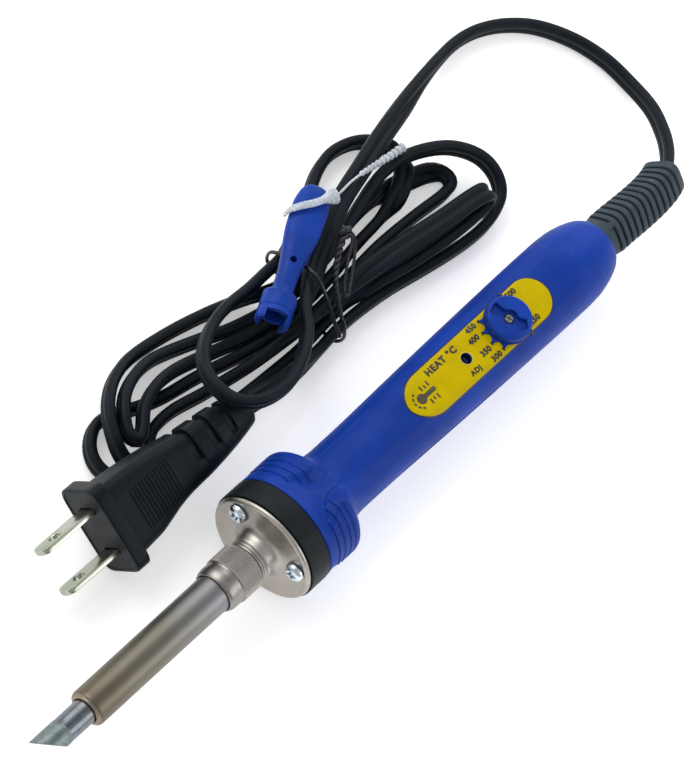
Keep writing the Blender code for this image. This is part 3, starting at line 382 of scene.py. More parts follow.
class Surface(Nodes):
    """A material; its textures read object coordinates, which are metres."""

    def __init__(self, name, colour, roughness, metallic=0.0):
        self.material = bpy.data.materials.new(name)
        self.material.use_nodes = True
        super().__init__(self.material.node_tree)
        self.shader = self.tree.nodes["Principled BSDF"]
        self.set({"Base Color": (*colour, 1), "Roughness": roughness, "Metallic": metallic})
        self.material.diffuse_color = (*colour, 1)
        self.place = self.new("TexCoord").outputs["Object"]
        self.normal = None

    def set(self, values):
        for key, value in values.items():
            self.shader.inputs[key].default_value = value

    def scaled(self, x, y, z):
        node = self.new("Mapping")
        self.feed(self.place, node.inputs["Vector"])
        node.inputs["Scale"].default_value = (x, y, z)
        return node.outputs["Vector"]

    def noise(self, scale, detail=3.0, roughness=0.5, vector=None):
        node = self.new("TexNoise")
        self.feed(vector or self.place, node.inputs["Vector"])
        node.inputs["Scale"].default_value = scale
        node.inputs["Detail"].default_value = detail
        node.inputs["Roughness"].default_value = roughness
        return node.outputs["Fac"]

    def mix(self, factor, a, b):
        node = self.new("Mix")
        node.data_type = "RGBA"
        self.feed(factor, node.inputs[0])
        self.feed(a, node.inputs[6])
        self.feed(b, node.inputs[7])
        return node.outputs[2]

    def between(self, pattern, at_low, at_high, low=0.3, high=0.7):
        """Runs from one colour to another as the pattern runs from low to high."""
        return self.mix(self.remap(pattern, low, high), at_low, at_high)

    def overlay(self, base, mask, amount, colour):
        return self.mix(self.math("MULTIPLY", mask, amount), base, colour)

    def axis(self, k):
        node = self.new("SeparateXYZ")
        self.feed(self.place, node.inputs[0])
        return node.outputs[k]

    def blurred_x(self, pattern, reach):
        """x pushed to and fro by a pattern."""
        shift = self.math("MULTIPLY", self.math("SUBTRACT", pattern, 0.5), reach)
        return self.math("ADD", self.axis(0), shift)

    def edge(self, low=0.52, high=0.62):
        """1 on convex edges and 0 elsewhere."""
        return self.remap(self.new("NewGeometry").outputs["Pointiness"], low, high)

    def colour(self, value):
        self.base = value
        self.feed(value, self.shader.inputs["Base Color"])

    def rough(self, value):
        self.feed(value, self.shader.inputs["Roughness"])

    def bump(self, height, strength, distance):
        """Adds relief on top of any earlier bump."""
        node = self.new("Bump")
        node.inputs["Strength"].default_value = strength
        node.inputs["Distance"].default_value = distance
        self.feed(height, node.inputs["Height"])
        if self.normal is not None:
            self.feed(self.normal, node.inputs["Normal"])
        self.normal = node.outputs["Normal"]
        self.feed(self.normal, self.shader.inputs["Normal"])


def shade(colour, gain, lift=0.0):
    return tuple(min(1, c * gain + lift) for c in colour)


def moulded(name, colour, roughness=0.42, grain=4500, depth=0.18, vary=0.16, edge=0.25,
            edge_highlight_colour=None, specular=0.5):
    """Moulded plastic: fine grain, slow colour drift, faint rub marks and a painted highlight along
    convex edges.
    """
    m = Surface(name, colour, roughness)
    slow = m.noise(scale=55, detail=4, roughness=0.6)
    fine = m.noise(scale=grain, detail=2, roughness=0.6)
    base = m.between(slow, shade(colour, 1 - vary), shade(colour, 1 + vary, 0.002),
                     low=0.32, high=0.68)
    base = m.overlay(base, m.remap(fine, low=0.45, high=0.75), amount=0.16,
                     colour=shade(colour, 1.35, 0.004))
    # Painted highlight: convex edges are lightened toward a paler colour.
    if edge:
        base = m.overlay(base, m.edge(), amount=edge, colour=edge_highlight_colour or shade(colour, 1.7, 0.012))
    m.colour(base)
    rub = m.noise(scale=420, detail=5, roughness=0.7, vector=m.scaled(0.25, 1, 1))
    m.rough(m.math("ADD", m.remap(rub, low=0.3, high=0.75, to_low=roughness - 0.07,
                                  to_high=roughness + 0.09), m.math("MULTIPLY", fine, 0.05)))
    m.bump(fine, strength=depth, distance=0.00004)
    m.bump(m.noise(scale=700), strength=depth * 0.25, distance=0.00006)
    m.set({"Specular IOR Level": specular})
    return m


def plain_surface(name, colour, roughness=0.42, vary=0.3):
    """Ink, the painted groove shadow round the label, and other plain colours, with no painted edge
    highlight.
    """
    return moulded(name, colour, roughness, grain=5200, depth=0.08, vary=vary, edge=0.0)


def metal(name, colour, roughness, brush, scale, vary, depth, edge):
    """Machined or plated metal: fine scratches stretched by brush, cloudy tone, and a painted
    highlight along convex edges.
    """
    m = Surface(name, colour, roughness, metallic=1.0)
    lines = m.noise(scale, detail=6, roughness=0.75, vector=m.scaled(*brush))
    cloud = m.noise(scale=140, detail=4, roughness=0.6)
    base = m.between(cloud, shade(colour, 1 - vary), shade(colour, 1 + vary))
    base = m.overlay(base, m.remap(lines, low=0.35, high=0.8), amount=0.3,
                     colour=shade(colour, 1.35))
    # Painted highlight: convex edges are lightened.
    m.colour(m.overlay(base, m.edge(), amount=edge, colour=shade(colour, 1.6, 0.05)))
    m.rough(m.remap(lines, low=0.25, high=0.8, to_low=roughness - 0.07,
                    to_high=roughness + 0.12))
    m.bump(lines, strength=depth, distance=0.00003)
    return m


# ======================================================================= materials
def knob_plastic():
    """Blue plastic, with painted shade down in the recesses of the knob's top and a stronger
    painted highlight on its edges.
    """
    m = moulded("knob_blue_plastic", (0.003, 0.036, 0.290), roughness=0.36, grain=6000,
                depth=0.12, edge=0.35, specular=0.16)
    dx = m.math("SUBTRACT", m.axis(0), KNOB_X * MM)
    radius = m.math("SQRT", m.math("ADD", m.math("MULTIPLY", dx, dx),
                                   m.math("MULTIPLY", m.axis(1), m.axis(1))))
    # Painted shade: recess floors inside the rim and below the top face are darkened.
    recess_shade_mask = m.math("MULTIPLY", m.remap(radius, low=0.0060, high=0.0059),
                      m.remap(m.axis(2), low=0.0129, high=0.0122))
    m.colour(m.overlay(m.base, recess_shade_mask, amount=0.36, colour=(0.0015, 0.012, 0.105)))
    return m


def tip_metal():
    """Tinned greenish-grey end with bluish plating behind it."""
    m = Surface("tip_plated_iron", (0.36, 0.38, 0.41), 0.3, metallic=1.0)
    wobble = m.noise(scale=420, detail=4, roughness=0.6)
    tinned = m.remap(m.blurred_x(wobble, reach=0.0022), low=0.0057, high=0.0051)
    plated = m.between(m.noise(scale=260, detail=5, roughness=0.6),
                       (0.125, 0.145, 0.165), (0.18, 0.20, 0.225))
    solder = m.between(m.noise(scale=900, detail=5, roughness=0.65),
                       (0.13, 0.165, 0.165), (0.22, 0.26, 0.255), high=0.72)
    scorch = m.remap(m.axis(0), low=0.0095, high=0.0135)
    m.colour(m.overlay(m.mix(tinned, plated, solder), scorch, amount=0.35,
                       colour=(0.20, 0.17, 0.16)))
    m.rough(m.math("ADD", m.math("MULTIPLY", tinned, 0.16),
                   m.remap(wobble, low=0.2, high=0.8, to_low=0.2, to_high=0.34)))
    m.bump(m.noise(scale=2600, detail=4, roughness=0.6), strength=0.18, distance=0.00004)
    m.bump(m.noise(scale=700, roughness=0.6), strength=0.25, distance=0.0001)
    return m


def sleeve_metal():
    """Heat tint from bronze at the tip end to grey at the nut."""
    m = Surface("sleeve_tinted_steel", (0.3, 0.25, 0.2), 0.33, metallic=1.0)
    x = m.blurred_x(m.noise(scale=90, detail=5, roughness=0.6), reach=0.02)
    base = m.between(x, (0.135, 0.112, 0.080), (0.165, 0.152, 0.120), low=0.014, high=0.034)
    base = m.between(x, base, (0.225, 0.228, 0.238), low=0.036, high=0.062)
    lines = m.noise(scale=2600, detail=6, roughness=0.75, vector=m.scaled(0.05, 1, 1))
    base = m.overlay(base, m.remap(lines, low=0.4, high=0.8), amount=0.25,
                     colour=(0.27, 0.255, 0.23))
    spots = m.remap(m.noise(scale=1500, roughness=0.7), low=0.62, high=0.74)
    base = m.overlay(base, spots, amount=0.25, colour=(0.07, 0.05, 0.035))
    m.colour(m.between(m.axis(0), base, (0.27, 0.225, 0.175), low=0.01472, high=0.0145))
    m.rough(m.remap(lines, low=0.25, high=0.8, to_low=0.35, to_high=0.47))
    m.bump(lines, strength=0.08, distance=0.00003)
    return m


def blade_metal():
    m = Surface("blade_nickel", (0.5, 0.52, 0.44), 0.24, metallic=1.0)
    lines = m.noise(scale=1600, detail=6, roughness=0.7, vector=m.scaled(0.08, 1, 1))
    base = m.between(m.noise(scale=120, detail=4, roughness=0.6),
                     (0.19, 0.235, 0.15), (0.29, 0.32, 0.245))
    base = m.overlay(base, m.remap(lines, low=0.4, high=0.8), amount=0.3,
                     colour=(0.42, 0.42, 0.36))
    # Painted highlight: the blade's convex edges are lightened.
    m.colour(m.overlay(base, m.edge(low=0.51, high=0.6), amount=0.6,
                       colour=(0.75, 0.73, 0.66)))
    m.rough(m.remap(lines, low=0.25, high=0.8, to_low=0.18, to_high=0.34))
    m.bump(lines, strength=0.07, distance=0.00003)
    return m


def flange_metal():
    """Stainless with warm temper clouds, concentric turning marks and a painted highlight along its
    edges.
    """
    m = Surface("flange_stainless", (0.42, 0.38, 0.34), 0.28, metallic=1.0)
    y, z = m.axis(1), m.axis(2)
    radius = m.math("SQRT", m.math("ADD", m.math("MULTIPLY", y, y), m.math("MULTIPLY", z, z)))
    marks = m.math("SINE", m.math("MULTIPLY", radius, 30000.0))
    cloud = m.noise(scale=150, detail=5, roughness=0.65)
    base = m.between(cloud, (0.37, 0.345, 0.315), (0.45, 0.425, 0.395), low=0.35, high=0.66)
    warm = m.remap(m.noise(scale=75, detail=4, roughness=0.6), low=0.52, high=0.66)
    base = m.overlay(base, warm, amount=0.35, colour=(0.43, 0.355, 0.285))
    # Painted highlight: convex edges are lightened.
    m.colour(m.overlay(base, m.edge(low=0.51, high=0.6), amount=0.35,
                       colour=(0.52, 0.48, 0.44)))
    m.rough(m.remap(cloud, low=0.3, high=0.75, to_low=0.32, to_high=0.44))
    m.bump(marks, strength=0.05, distance=0.00003)
    m.bump(m.noise(scale=1500, detail=4, roughness=0.7), strength=0.10, distance=0.00004)
    return m


def cord_vinyl():
    """Matt vinyl with a dusty bloom."""
    m = Surface("cord_black_pvc", (0.012, 0.018, 0.026), 0.42)
    bloom = m.noise(scale=120, detail=5, roughness=0.65)
    fine = m.noise(scale=3800, roughness=0.6)
    base = m.between(bloom, (0.0022, 0.0050, 0.0085), (0.0045, 0.0090, 0.0145), low=0.35)
    m.colour(m.overlay(base, m.remap(fine, low=0.55, high=0.8), amount=0.22,
                       colour=(0.018, 0.025, 0.032)))
    m.rough(m.remap(bloom, low=0.3, high=0.75, to_low=0.44, to_high=0.60))
    m.bump(fine, strength=0.16, distance=0.00004)
    m.bump(m.noise(scale=500, detail=2), strength=0.10, distance=0.00012)
    m.set({"Specular IOR Level": 0.15})
    return m


def label_film():
    """Ochre-yellow film, slightly pebbled, with a painted highlight along its rim."""
    m = Surface("label_yellow_print", (0.66, 0.49, 0.008), 0.36)
    cloud = m.noise(scale=180, detail=4, roughness=0.6)
    base = m.between(cloud, (0.450, 0.340, 0.0005), (0.520, 0.392, 0.0010))
    pebbles = m.remap(m.noise(scale=4200, detail=2, roughness=0.6), low=0.55, high=0.8)
    base = m.overlay(base, pebbles, amount=0.22, colour=(0.58, 0.44, 0.004))
    # Painted highlight: the film's rounded rim is lightened.
    m.colour(m.overlay(base, m.edge(low=0.505, high=0.56), amount=0.4,
                       colour=(0.60, 0.47, 0.02)))
    m.set({"Specular IOR Level": 0.05})
    m.rough(m.remap(cloud, low=0.3, high=0.7, to_low=0.30, to_high=0.42))
    m.bump(m.noise(scale=5200, detail=2), strength=0.10, distance=0.00003)
    return m


def milky_nylon():
    m = Surface("loop_tie_clear_nylon", (0.80, 0.82, 0.84), 0.28)
    m.colour(m.between(m.noise(scale=160), (0.60, 0.65, 0.70), (0.72, 0.77, 0.82)))
    m.rough(m.remap(m.noise(scale=1500, roughness=0.6), low=0.3, high=0.7,
                    to_low=0.2, to_high=0.36))
    m.bump(m.noise(scale=1800, roughness=0.6), strength=0.03, distance=0.00002)
    m.set({"Transmission Weight": 0.4, "Subsurface Weight": 0.35, "Subsurface Scale": 0.6,
           "Subsurface Radius": (0.002, 0.002, 0.002), "IOR": 1.5})
    return m


def board_laminate():
    """Green board with a brick-like pattern of paler lines."""
    m = Surface("board_green", (0.02, 0.12, 0.05), 0.45)
    brick = m.new("TexBrick")
    m.feed(m.scaled(420, 700, 420), brick.inputs["Vector"])
    for key, value in {"Scale": 1.0, "Color1": (0.016, 0.10, 0.042, 1),
                       "Color2": (0.022, 0.135, 0.055, 1), "Mortar": (0.05, 0.22, 0.07, 1),
                       "Mortar Size": 0.06}.items():
        brick.inputs[key].default_value = value
    m.colour(m.overlay(brick.outputs["Color"], m.noise(scale=900, roughness=0.6), amount=0.3,
                       colour=(0.03, 0.16, 0.08)))
    m.rough(m.remap(m.noise(scale=900, roughness=0.6), low=0.3, high=0.7,
                    to_low=0.36, to_high=0.52))
    m.bump(m.noise(scale=3000, detail=2), strength=0.1, distance=0.00004)
    return m


# material, colour, roughness, grain scale, grain depth, colour variation, CAD pieces that wear it
INNER_PLASTICS = (
    ("alumina_white", (0.74, 0.72, 0.67), 0.34, 5200, 0.12, 0.06, ["ceramic_heater"]),
    ("holder_steatite", (0.55, 0.52, 0.45), 0.6, 3000, 0.3, 0.1, ["heater_holder"]),
    ("lead_white_sleeving", (0.60, 0.60, 0.57), 0.6, 6000, 0.4, 0.08,
     ["heater_lead_1", "heater_lead_2"]),
    ("lead_red_sleeving", (0.42, 0.02, 0.02), 0.5, 6000, 0.3, 0.12,
     ["sensor_lead_1", "sensor_lead_2"]),
    ("component_black", (0.018, 0.018, 0.020), 0.5, 4200, 0.2, 0.2,
     ["triac", "mains_lead_1", "mains_lead_2"]),
    ("chip_black", (0.016, 0.016, 0.018), 0.44, 6500, 0.2, 0.2, ["control_chip"]),
    ("capacitor_sleeve", (0.020, 0.042, 0.13), 0.32, 5200, 0.1, 0.15, ["filter_capacitor"]),
    ("resistor_tan", (0.45, 0.32, 0.18), 0.5, 5200, 0.2, 0.12, ["dropper_resistor"]),
    ("film_cap_yellow", (0.50, 0.35, 0.02), 0.42, 5200, 0.14, 0.12, ["snubber_capacitor"]),
    ("pot_housing_blue", (0.03, 0.07, 0.25), 0.48, 5200, 0.16, 0.16, ["potentiometer_body"]),
    ("trimmer_housing_blue", (0.03, 0.09, 0.34), 0.46, 5200, 0.16, 0.16, ["trimmer_body"]),
    ("clamp_nylon", (0.60, 0.60, 0.56), 0.48, 3600, 0.2, 0.08, ["cord_clamp"]),
)


def dress_inner_parts():
    """Materials for the CAD pieces that are kept as they are."""
    dressed = [(moulded(*settings), nodes) for *settings, nodes in INNER_PLASTICS]
    dressed.append((board_laminate(), ["circuit_board"]))
    for surface, nodes in dressed:
        for node in nodes:
            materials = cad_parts[node].data.materials
            materials.clear()
            materials.append(surface.material)


# ======================================================================= tip, sleeve, nut
def make_tip():
    normal = unit((-0.682, -0.657, -0.320))      # of the slanted face, which passes the origin
    shoulder_x, rear_x = 20.0, 58.0
    angle = 2 * pi * np.arange(128) / 128

    def slanted(r, shift=0.0):
        y, z = r * np.cos(angle), r * np.sin(angle)
        return np.stack([-(normal[1] * y + normal[2] * z) / normal[0] + shift, y, z], -1)

    # wavy rear edge of the tinned end
    edge_x = 5.1 + 0.25 * np.sin(2 * angle + 0.6) + 0.12 * np.sin(5 * angle)
    face = ((0.05, 0), (1.2, 0), (2.4, 0), (TIP_R - 0.14, 0), (TIP_R - 0.03, 0.03),
            (TIP_R + 0.03, 0.14))                # radius, shift toward +X
    rings = [slanted(r, shift) for r, shift in face]
    face_x = slanted(TIP_R, 0.14)[:, 0]
    for f in (0.35, 0.6, 0.8, 0.93):             # share of the way from the face to the edge
        r = TIP_R + 0.03 + 0.012 * np.sin(3 * angle + 4 * f)
        rings.append(circle(face_x * (1 - f) + edge_x * f, r, angle))
    for behind, r in ((0.0, TIP_R + 0.02), (0.22, TIP_R - 0.04), (0.5, TIP_R - 0.06)):
        rings.append(circle(edge_x + behind, r, angle))
    body = rounded([
        (6.6, TIP_R - 0.05), (shoulder_x - 0.9, TIP_R, .2), (shoulder_x, 4.6, .2),
        (shoulder_x + 3, 4.6, .2), (shoulder_x + 3.6, 4.0, .2), (rear_x, 4.0, .2),
        (rear_x, 2.4, .2), (26.0, 2.4)], closed=False)
    rings += [circle(x, r, angle) for x, r in body]
    tip = lofted("tip_shell", rings, tip_metal(), sharp=30)
    place(tip, "sleeve_unit", "soldering_tip")


def make_sleeve():
    profile = rounded([                          # x, radius, fillet
        (13.96, 3.88, .04), (13.90, 4.22, .12), (14.02, 4.62, .12), (14.42, 4.74, .05),
        (14.50, 4.80, .02), (14.42, 4.92, .05), (14.52, 5.16, .15), (14.98, 5.40, .2),
        (15.6, SLEEVE_R, .2), (22.0, SLEEVE_R), (30.0, SLEEVE_R), (40.0, SLEEVE_R),
        (50.0, SLEEVE_R), (60.0, SLEEVE_R), (68.5, SLEEVE_R), (68.6, 5.95), (70.2, 5.95),
        (70.2, 4.95), (16.0, 4.95), (15.2, 3.88)])
    sleeve = turned("sleeve_tube", profile, sleeve_metal(), sides=144, ring=True)
    place(sleeve, "sleeve_unit", "heater_sleeve")


def make_nut():
    teeth = 66
    # x, radius, fillet: domed nose, knurled band, rear edge and bore
    profile = rounded([
        (63.42, 5.62, .05), (63.30, 5.86, .12), (63.42, 6.08, .15), (64.1, 6.42, .3),
        (64.9, 6.58, .4), (65.7, 6.63, .3), (66.5, 6.60, .4), (67.2, 6.52, .3),
        (67.75, 6.50, .2), (68.05, 6.62, .1), (68.35, 6.86, .1)])
    profile += [(68.6, 6.9), (68.9, 6.9), (70.5, 6.9), (72.5, 6.9), (74.4, 6.9), (74.9, 6.9),
                (75.15, 6.88)]
    profile += rounded([(75.4, 6.72, .1), (75.6, 6.40, .1), (75.6, 6.3), (68.35, 6.3),
                        (68.3, 5.62)])

    def knurl(s, angle, r):
        on_band = smooth_step(68.15, 68.6, s) * (1 - smooth_step(74.95, 75.3, s)) * (r > 6.6)
        tooth = np.abs((angle * teeth / (2 * pi)) % 1.0 - 0.5) * 2
        return r - 0.24 * on_band * smooth_step(0.30, 0.85, tooth)

    nickel = metal("nut_nickel", (0.268, 0.252, 0.238), roughness=0.32, brush=(0.3, 1, 1),
                   scale=1500, vary=0.05, depth=0.04, edge=0.5)
    nut = turned("nut_knurled", profile, nickel, sides=teeth * 8, ring=True, radius_at=knurl,
                 sharp=50)
    place(nut, "nut", "retaining_nut")


# ======================================================================= flange, screws, ring
def make_flange():
    profile = rounded([                          # x, radius, fillet
        (70.5, 4.9), (70.5, 5.8, .1), (70.8, 6.0, .1), (75.66, 6.0, .05), (75.8, 6.28, .1),
        (76.1, 6.42, .12), (76.45, 6.28, .1), (76.62, 6.02, .08), (76.80, 6.28, .1),
        (77.10, 6.44, .12), (77.45, 6.30, .1), (77.62, 6.04, .08), (77.80, 6.30, .1),
        (78.15, 6.50, .2), (78.9, 6.58, .3), (79.7, 6.72, .5), (80.5, 7.12, .6),
        (81.1, 7.75, .6), (81.52, 8.7, .8), (81.78, 9.9, .8), (81.93, 11.4, .8),
        (82.0, 13.4, .5), (82.0, 14.85, .15), (81.90, 15.12, .12), (81.92, 15.42, .15),
        (82.12, 15.80, .15), (82.46, 16.10, .2), (82.95, 16.20, .1), (83.2, 16.1, .08),
        (83.2, 9.0, .2), (81.9, 6.2, .3), (79.5, 4.9, .2)])
    flange = turned("flange_and_neck", profile, flange_metal(), sides=192, ring=True, sharp=50)
    place(flange, "iron", "flange_plate")


def make_screws():
    """Pan heads with a tapered cross recess, facing the tip."""
    profile = rounded([                          # x, radius, fillet
        (79.86, 0.0), (79.86, 1.0, .3), (80.02, 1.9, .5), (80.45, 2.45, .4),
        (81.05, 2.74, .25), (81.55, 2.78, .12), (81.80, 2.70, .1), (81.80, 1.35, .1),
        (97.0, 1.35, .2), (97.8, 0.7, .1), (97.8, 0.0)], closed=False)
    zinc = metal("screw_zinc", (0.62, 0.70, 0.76), roughness=0.16, brush=(1, 1, 1), scale=1800,
                 vary=0.12, depth=0.06, edge=0.2)
    for i, base in enumerate(SCREW_PLACES, 1):
        screw = turned("screw_%d_pan_head" % i, profile, zinc, sides=64, base=base)
        tools = []
        for slot_angle in (24.0 + 19 * i, 114.0 + 19 * i):
            c, s = cos(radians(slot_angle)), sin(radians(slot_angle))
            tools.append(block((79.95, *base[1:]), (2.6, 0.78, 3.5),
                               (X_AXIS, (0, c, s), (0, -s, c)), taper=0.62))
        tools.append(drill([(79.0, 1.15), (80.3, 0.85), (81.3, 0.35)], sides=24, base=base))
        cut(screw, tools, sharp=32)
        place(screw, "iron", "flange_screw_%d" % i)


def make_insulating_ring():
    profile = rounded([(83.5, 7.0), (83.5, 16.42, .1), (83.66, 16.6, .12), (90.16, 16.6, .12),
                       (90.3, 16.46, .1), (90.3, 7.0)])
    # The paler colour given for convex edges is a painted highlight.
    phenolic = moulded("ring_phenolic", (0.0050, 0.0080, 0.0100), roughness=0.46, grain=5200,
                       depth=0.2, vary=0.25, edge=0.4, edge_highlight_colour=(0.035, 0.042, 0.050),
                       specular=0.15)
    ring = turned("ring_insulator", profile, phenolic, sides=192, ring=True)
    place(ring, "iron", "insulating_ring")


# ======================================================================= handle
# x, radius: over the three lobes (one per screw), along the valleys between, and down the grip
LOBE = [(90.6, 16.65), (101.4, 16.65), (102.4, 16.45), (103.4, 15.6), (104.4, 14.2),
        (105.4, 12.85), (106.5, 11.75), (107.8, 10.95), (109.5, 10.45), (112.0, 10.22)]
VALLEY = [(90.6, 16.62), (93.0, 15.7), (96.0, 14.6), (99.0, 13.5), (102.0, 12.4),
          (105.0, 11.35), (108.0, 10.62), (112.0, 10.22)]
GRIP = [(112.0, 10.22), (121.0, 10.26), (136.0, 10.56), (150.0, 10.88), (165.0, 11.13),
        (182.0, 11.35), (196.0, 11.47), (204.0, 11.45), (209.0, 11.2), (213.0, 10.5),
        (216.0, 9.6), (218.0, 8.75), (HANDLE_END_X, 7.7)]
# x, degrees from the middle of the valley: the ridge that outlines each valley
RIDGE = [(92.6, 33.0), (94.0, 27.5), (95.2, 22.5), (96.2, 17.0), (97.4, 11.6), (98.6, 8.2),
         (100.0, 6.4), (102.0, 5.8), (104.8, 6.6), (107.0, 9.5)]
RIBS = ((94.9, 27.0), (97.2, 16.5), (99.5, 13.0))    # x, degrees from mid-valley to the rib's end
MM_PER_DEGREE = 0.245                                # round the handle, at the ridge


def handle_radius(x, angle):
    """Outer radius at station x and angle (degrees from +Y toward +Z); both may be arrays."""
    x, angle = np.broadcast_arrays(np.asarray(x, float), np.asarray(angle, float))
    from_screw = np.min([np.abs((angle - screw + 180) % 360 - 180) for screw in SCREW_ANGLES],
                        axis=0)
    from_valley = 60 - from_screw
    lobe_half = 60 - (40 - 22 * smooth_step(HANDLE_X, 101.0, x))
    on_lobe = 1 - smooth_step(lobe_half - 5, lobe_half + 9, from_screw)
    band = smooth_step(93.3, 94.2, x) * (1 - smooth_step(100.2, 101.1, x))
    lobe = read_table(LOBE, x) - 0.34 * band         # sunk so the ribs stand in it
    valley = read_table(VALLEY, x)
    r = valley + (lobe - valley) * on_lobe

    # soft ridge round each valley
    distance = np.full(x.shape, 1e9)
    y = from_valley * MM_PER_DEGREE
    for (x0, degrees0), (x1, degrees1) in zip(RIDGE, RIDGE[1:]):
        y0, y1 = degrees0 * MM_PER_DEGREE, degrees1 * MM_PER_DEGREE
        dx, dy = x1 - x0, y1 - y0
        t = np.clip(((x - x0) * dx + (y - y0) * dy) / (dx * dx + dy * dy), 0, 1)
        distance = np.minimum(distance, np.hypot(x - x0 - t * dx, y - y0 - t * dy))
    r = r + (0.26 * np.exp(-(distance / 0.42) ** 2) * smooth_step(92.6, 94.0, x)
             * (1 - smooth_step(104.5, 107.0, x)))

    # three ribs round each lobe
    for rib_x, end in RIBS:
        across = np.abs(x - rib_x) / 0.66
        r = r + (0.46 * (1 - smooth_step(0.62, 1.0, across))
                 * smooth_step(end - 0.8, end + 0.8, from_valley))
    r = np.where(x <= 112.0, np.minimum(r, RIM_R), read_table(GRIP, x))
    r = r - 0.22 * (1 - smooth_step(HANDLE_X, 90.95, x))     # eased front edge

    # flat top, joined to the round sides by a smooth minimum
    from_top = np.abs((angle - 90 + 180) % 360 - 180)
    flat = PAD_Z / np.cos(np.radians(np.minimum(from_top, 75)))
    amount = smooth_step(126, 134, x) * (1 - smooth_step(197, 205, x))
    blended = 0.5 * (r + flat - np.sqrt((r - flat) ** 2 + 0.12))
    blended = np.minimum(blended, r)
    r = np.where(from_top < 70, r + (blended - r) * amount, r)

    # shallow groove along the -Y side
    groove = (np.exp(-((angle - 173.5) / 1.9) ** 4) * smooth_step(127.5, 129.0, x)
              * (1 - smooth_step(164.0, 165.5, x)))
    return r - 0.6 * groove


def pad_height(x, y):
    """Height of the handle's top surface at (x, y), found by iterating on the angle."""
    grip = float(read_table(GRIP, x))
    angle = degrees(atan2(min(sqrt(max(grip * grip - y * y, 1.0)), PAD_Z), y))
    for _ in range(4):
        r = float(handle_radius(x, angle))
        angle = degrees(atan2(sqrt(max(r * r - y * y, 0.5)), y))
    return sqrt(max(float(handle_radius(x, angle)) ** 2 - y * y, 0.5))


def dial_holes(knob_r, trimmer_r, top):
    """Tools for the holes under the knob and over the trimmer."""
    return [drill([(4, r), (top, r)], sides=48, base=(x, 0, 0), axis=Z_AXIS, phase=0.37)
            for x, r in ((KNOB_X, knob_r), (TRIMMER_X, trimmer_r))]


def make_handle():
    stations = np.concatenate([
        [90.6, 90.68, 90.78, 90.95], np.arange(91.2, 108.0, 0.14), np.arange(108.0, 127.0, 1.0),
        np.arange(127.0, 130.0, 0.5), np.arange(130.0, 163.0, 1.5),
        np.arange(163.0, 166.5, 0.5), np.arange(167.0, 203.0, 1.5),
        np.arange(203.0, 219.0, 0.5), [219.0, 219.3, 219.5]])
    angle = 360.0 * np.arange(300) / 300
    radii = handle_radius(stations[:, None], angle[None, :])
    inside = rounded([
        (219.62, 7.3, .1), (HANDLE_END_X, 6.8, .1), (219.3, 6.1, .2), (213.5, 6.1),
        (211.0, CAVITY_R), (150.0, CAVITY_R), (HANDLE_X, CAVITY_R, .1)], closed=False)
    rings = [circle(x, r, np.radians(angle)) for x, r in [*zip(stations, radii), *inside]]
    blue = moulded("handle_blue_plastic", (0.0025, 0.0345, 0.282), roughness=0.45,
                   specular=0.13)
    handle = lofted("handle_shell", rings, blue, sharp=34, loop=True)
    tools = dial_holes(knob_r=3.6, trimmer_r=1.76, top=12)
    tools += [drill([(88, 1.7), (99, 1.7)], sides=24, base=base, phase=0.31)
              for base in SCREW_PLACES]
    cut(handle, tools, sharp=34)
    place(handle, "iron", "handle_body")


# ======================================================================= label and its print
def label_plate(name, grow, lift, drop, surface, soft):
    """Thin plate on the handle's top, with a blunt nose toward the tip and a round rear end.

    grow widens the outline, lift and drop are its top above and its underside below the
    handle's surface, and soft is the width of its rounded border.
    """
    lengths, widths = 110, 22
    x0, x1, half = LABEL_X0 - grow, LABEL_X1 + grow, LABEL_HALF + grow
    nose = 9.0 + grow

    def half_width(x):
        if x < x0 + nose:
            t = (x0 + nose - x) / nose
            return half * max(0.0, 1 - t ** 2.1) ** 0.55
        if x > x1 - half:
            t = (x - x1 + half) / half
            return half * sqrt(max(0.0, 1 - t * t))
        return half

    top, bottom = [], []
    for i in range(lengths + 1):
        x = x0 + (x1 - x0) * (0.5 - 0.5 * cos(pi * (i + 0.12) / (lengths + 0.24)))
        h = half_width(x)
        for j in range(widths + 1):
            c = sin(pi / 2 * (2 * j / widths - 1))
            y = h * c
            z = pad_height(x, y)
            from_rim = min(h * (1 - abs(c)), x - x0 + h * 0.15, x1 - x + h * 0.10)
            rise = float(smooth_step(-0.05, soft, from_rim))
            top.append((x, y, z + 0.02 + (lift - 0.02) * rise))
            bottom.append((x, y, z - drop))
    n, row = len(top), widths + 1
    faces = []
    for i in range(lengths):
        for j in range(widths):
            a = i * row + j
            faces.append((a, a + row, a + row + 1, a + 1))
            faces.append((n + a, n + a + 1, n + a + row + 1, n + a + row))
    for i in range(lengths):
        a, b = i * row, i * row + widths
        faces.append((a, n + a, n + a + row, a + row))
        faces.append((b, b + row, n + b + row, n + b))
    for j in range(widths):
        a, b = j, lengths * row + j
        faces.append((a, a + 1, n + a + 1, n + a))
        faces.append((b, n + b, n + b + 1, b + 1))
    plate = build(name, top + bottom, faces, surface, sharp=60)
    return cut(plate, dial_holes(KNOB_HOLE_R, trimmer_r=1.78, top=14), sharp=60)


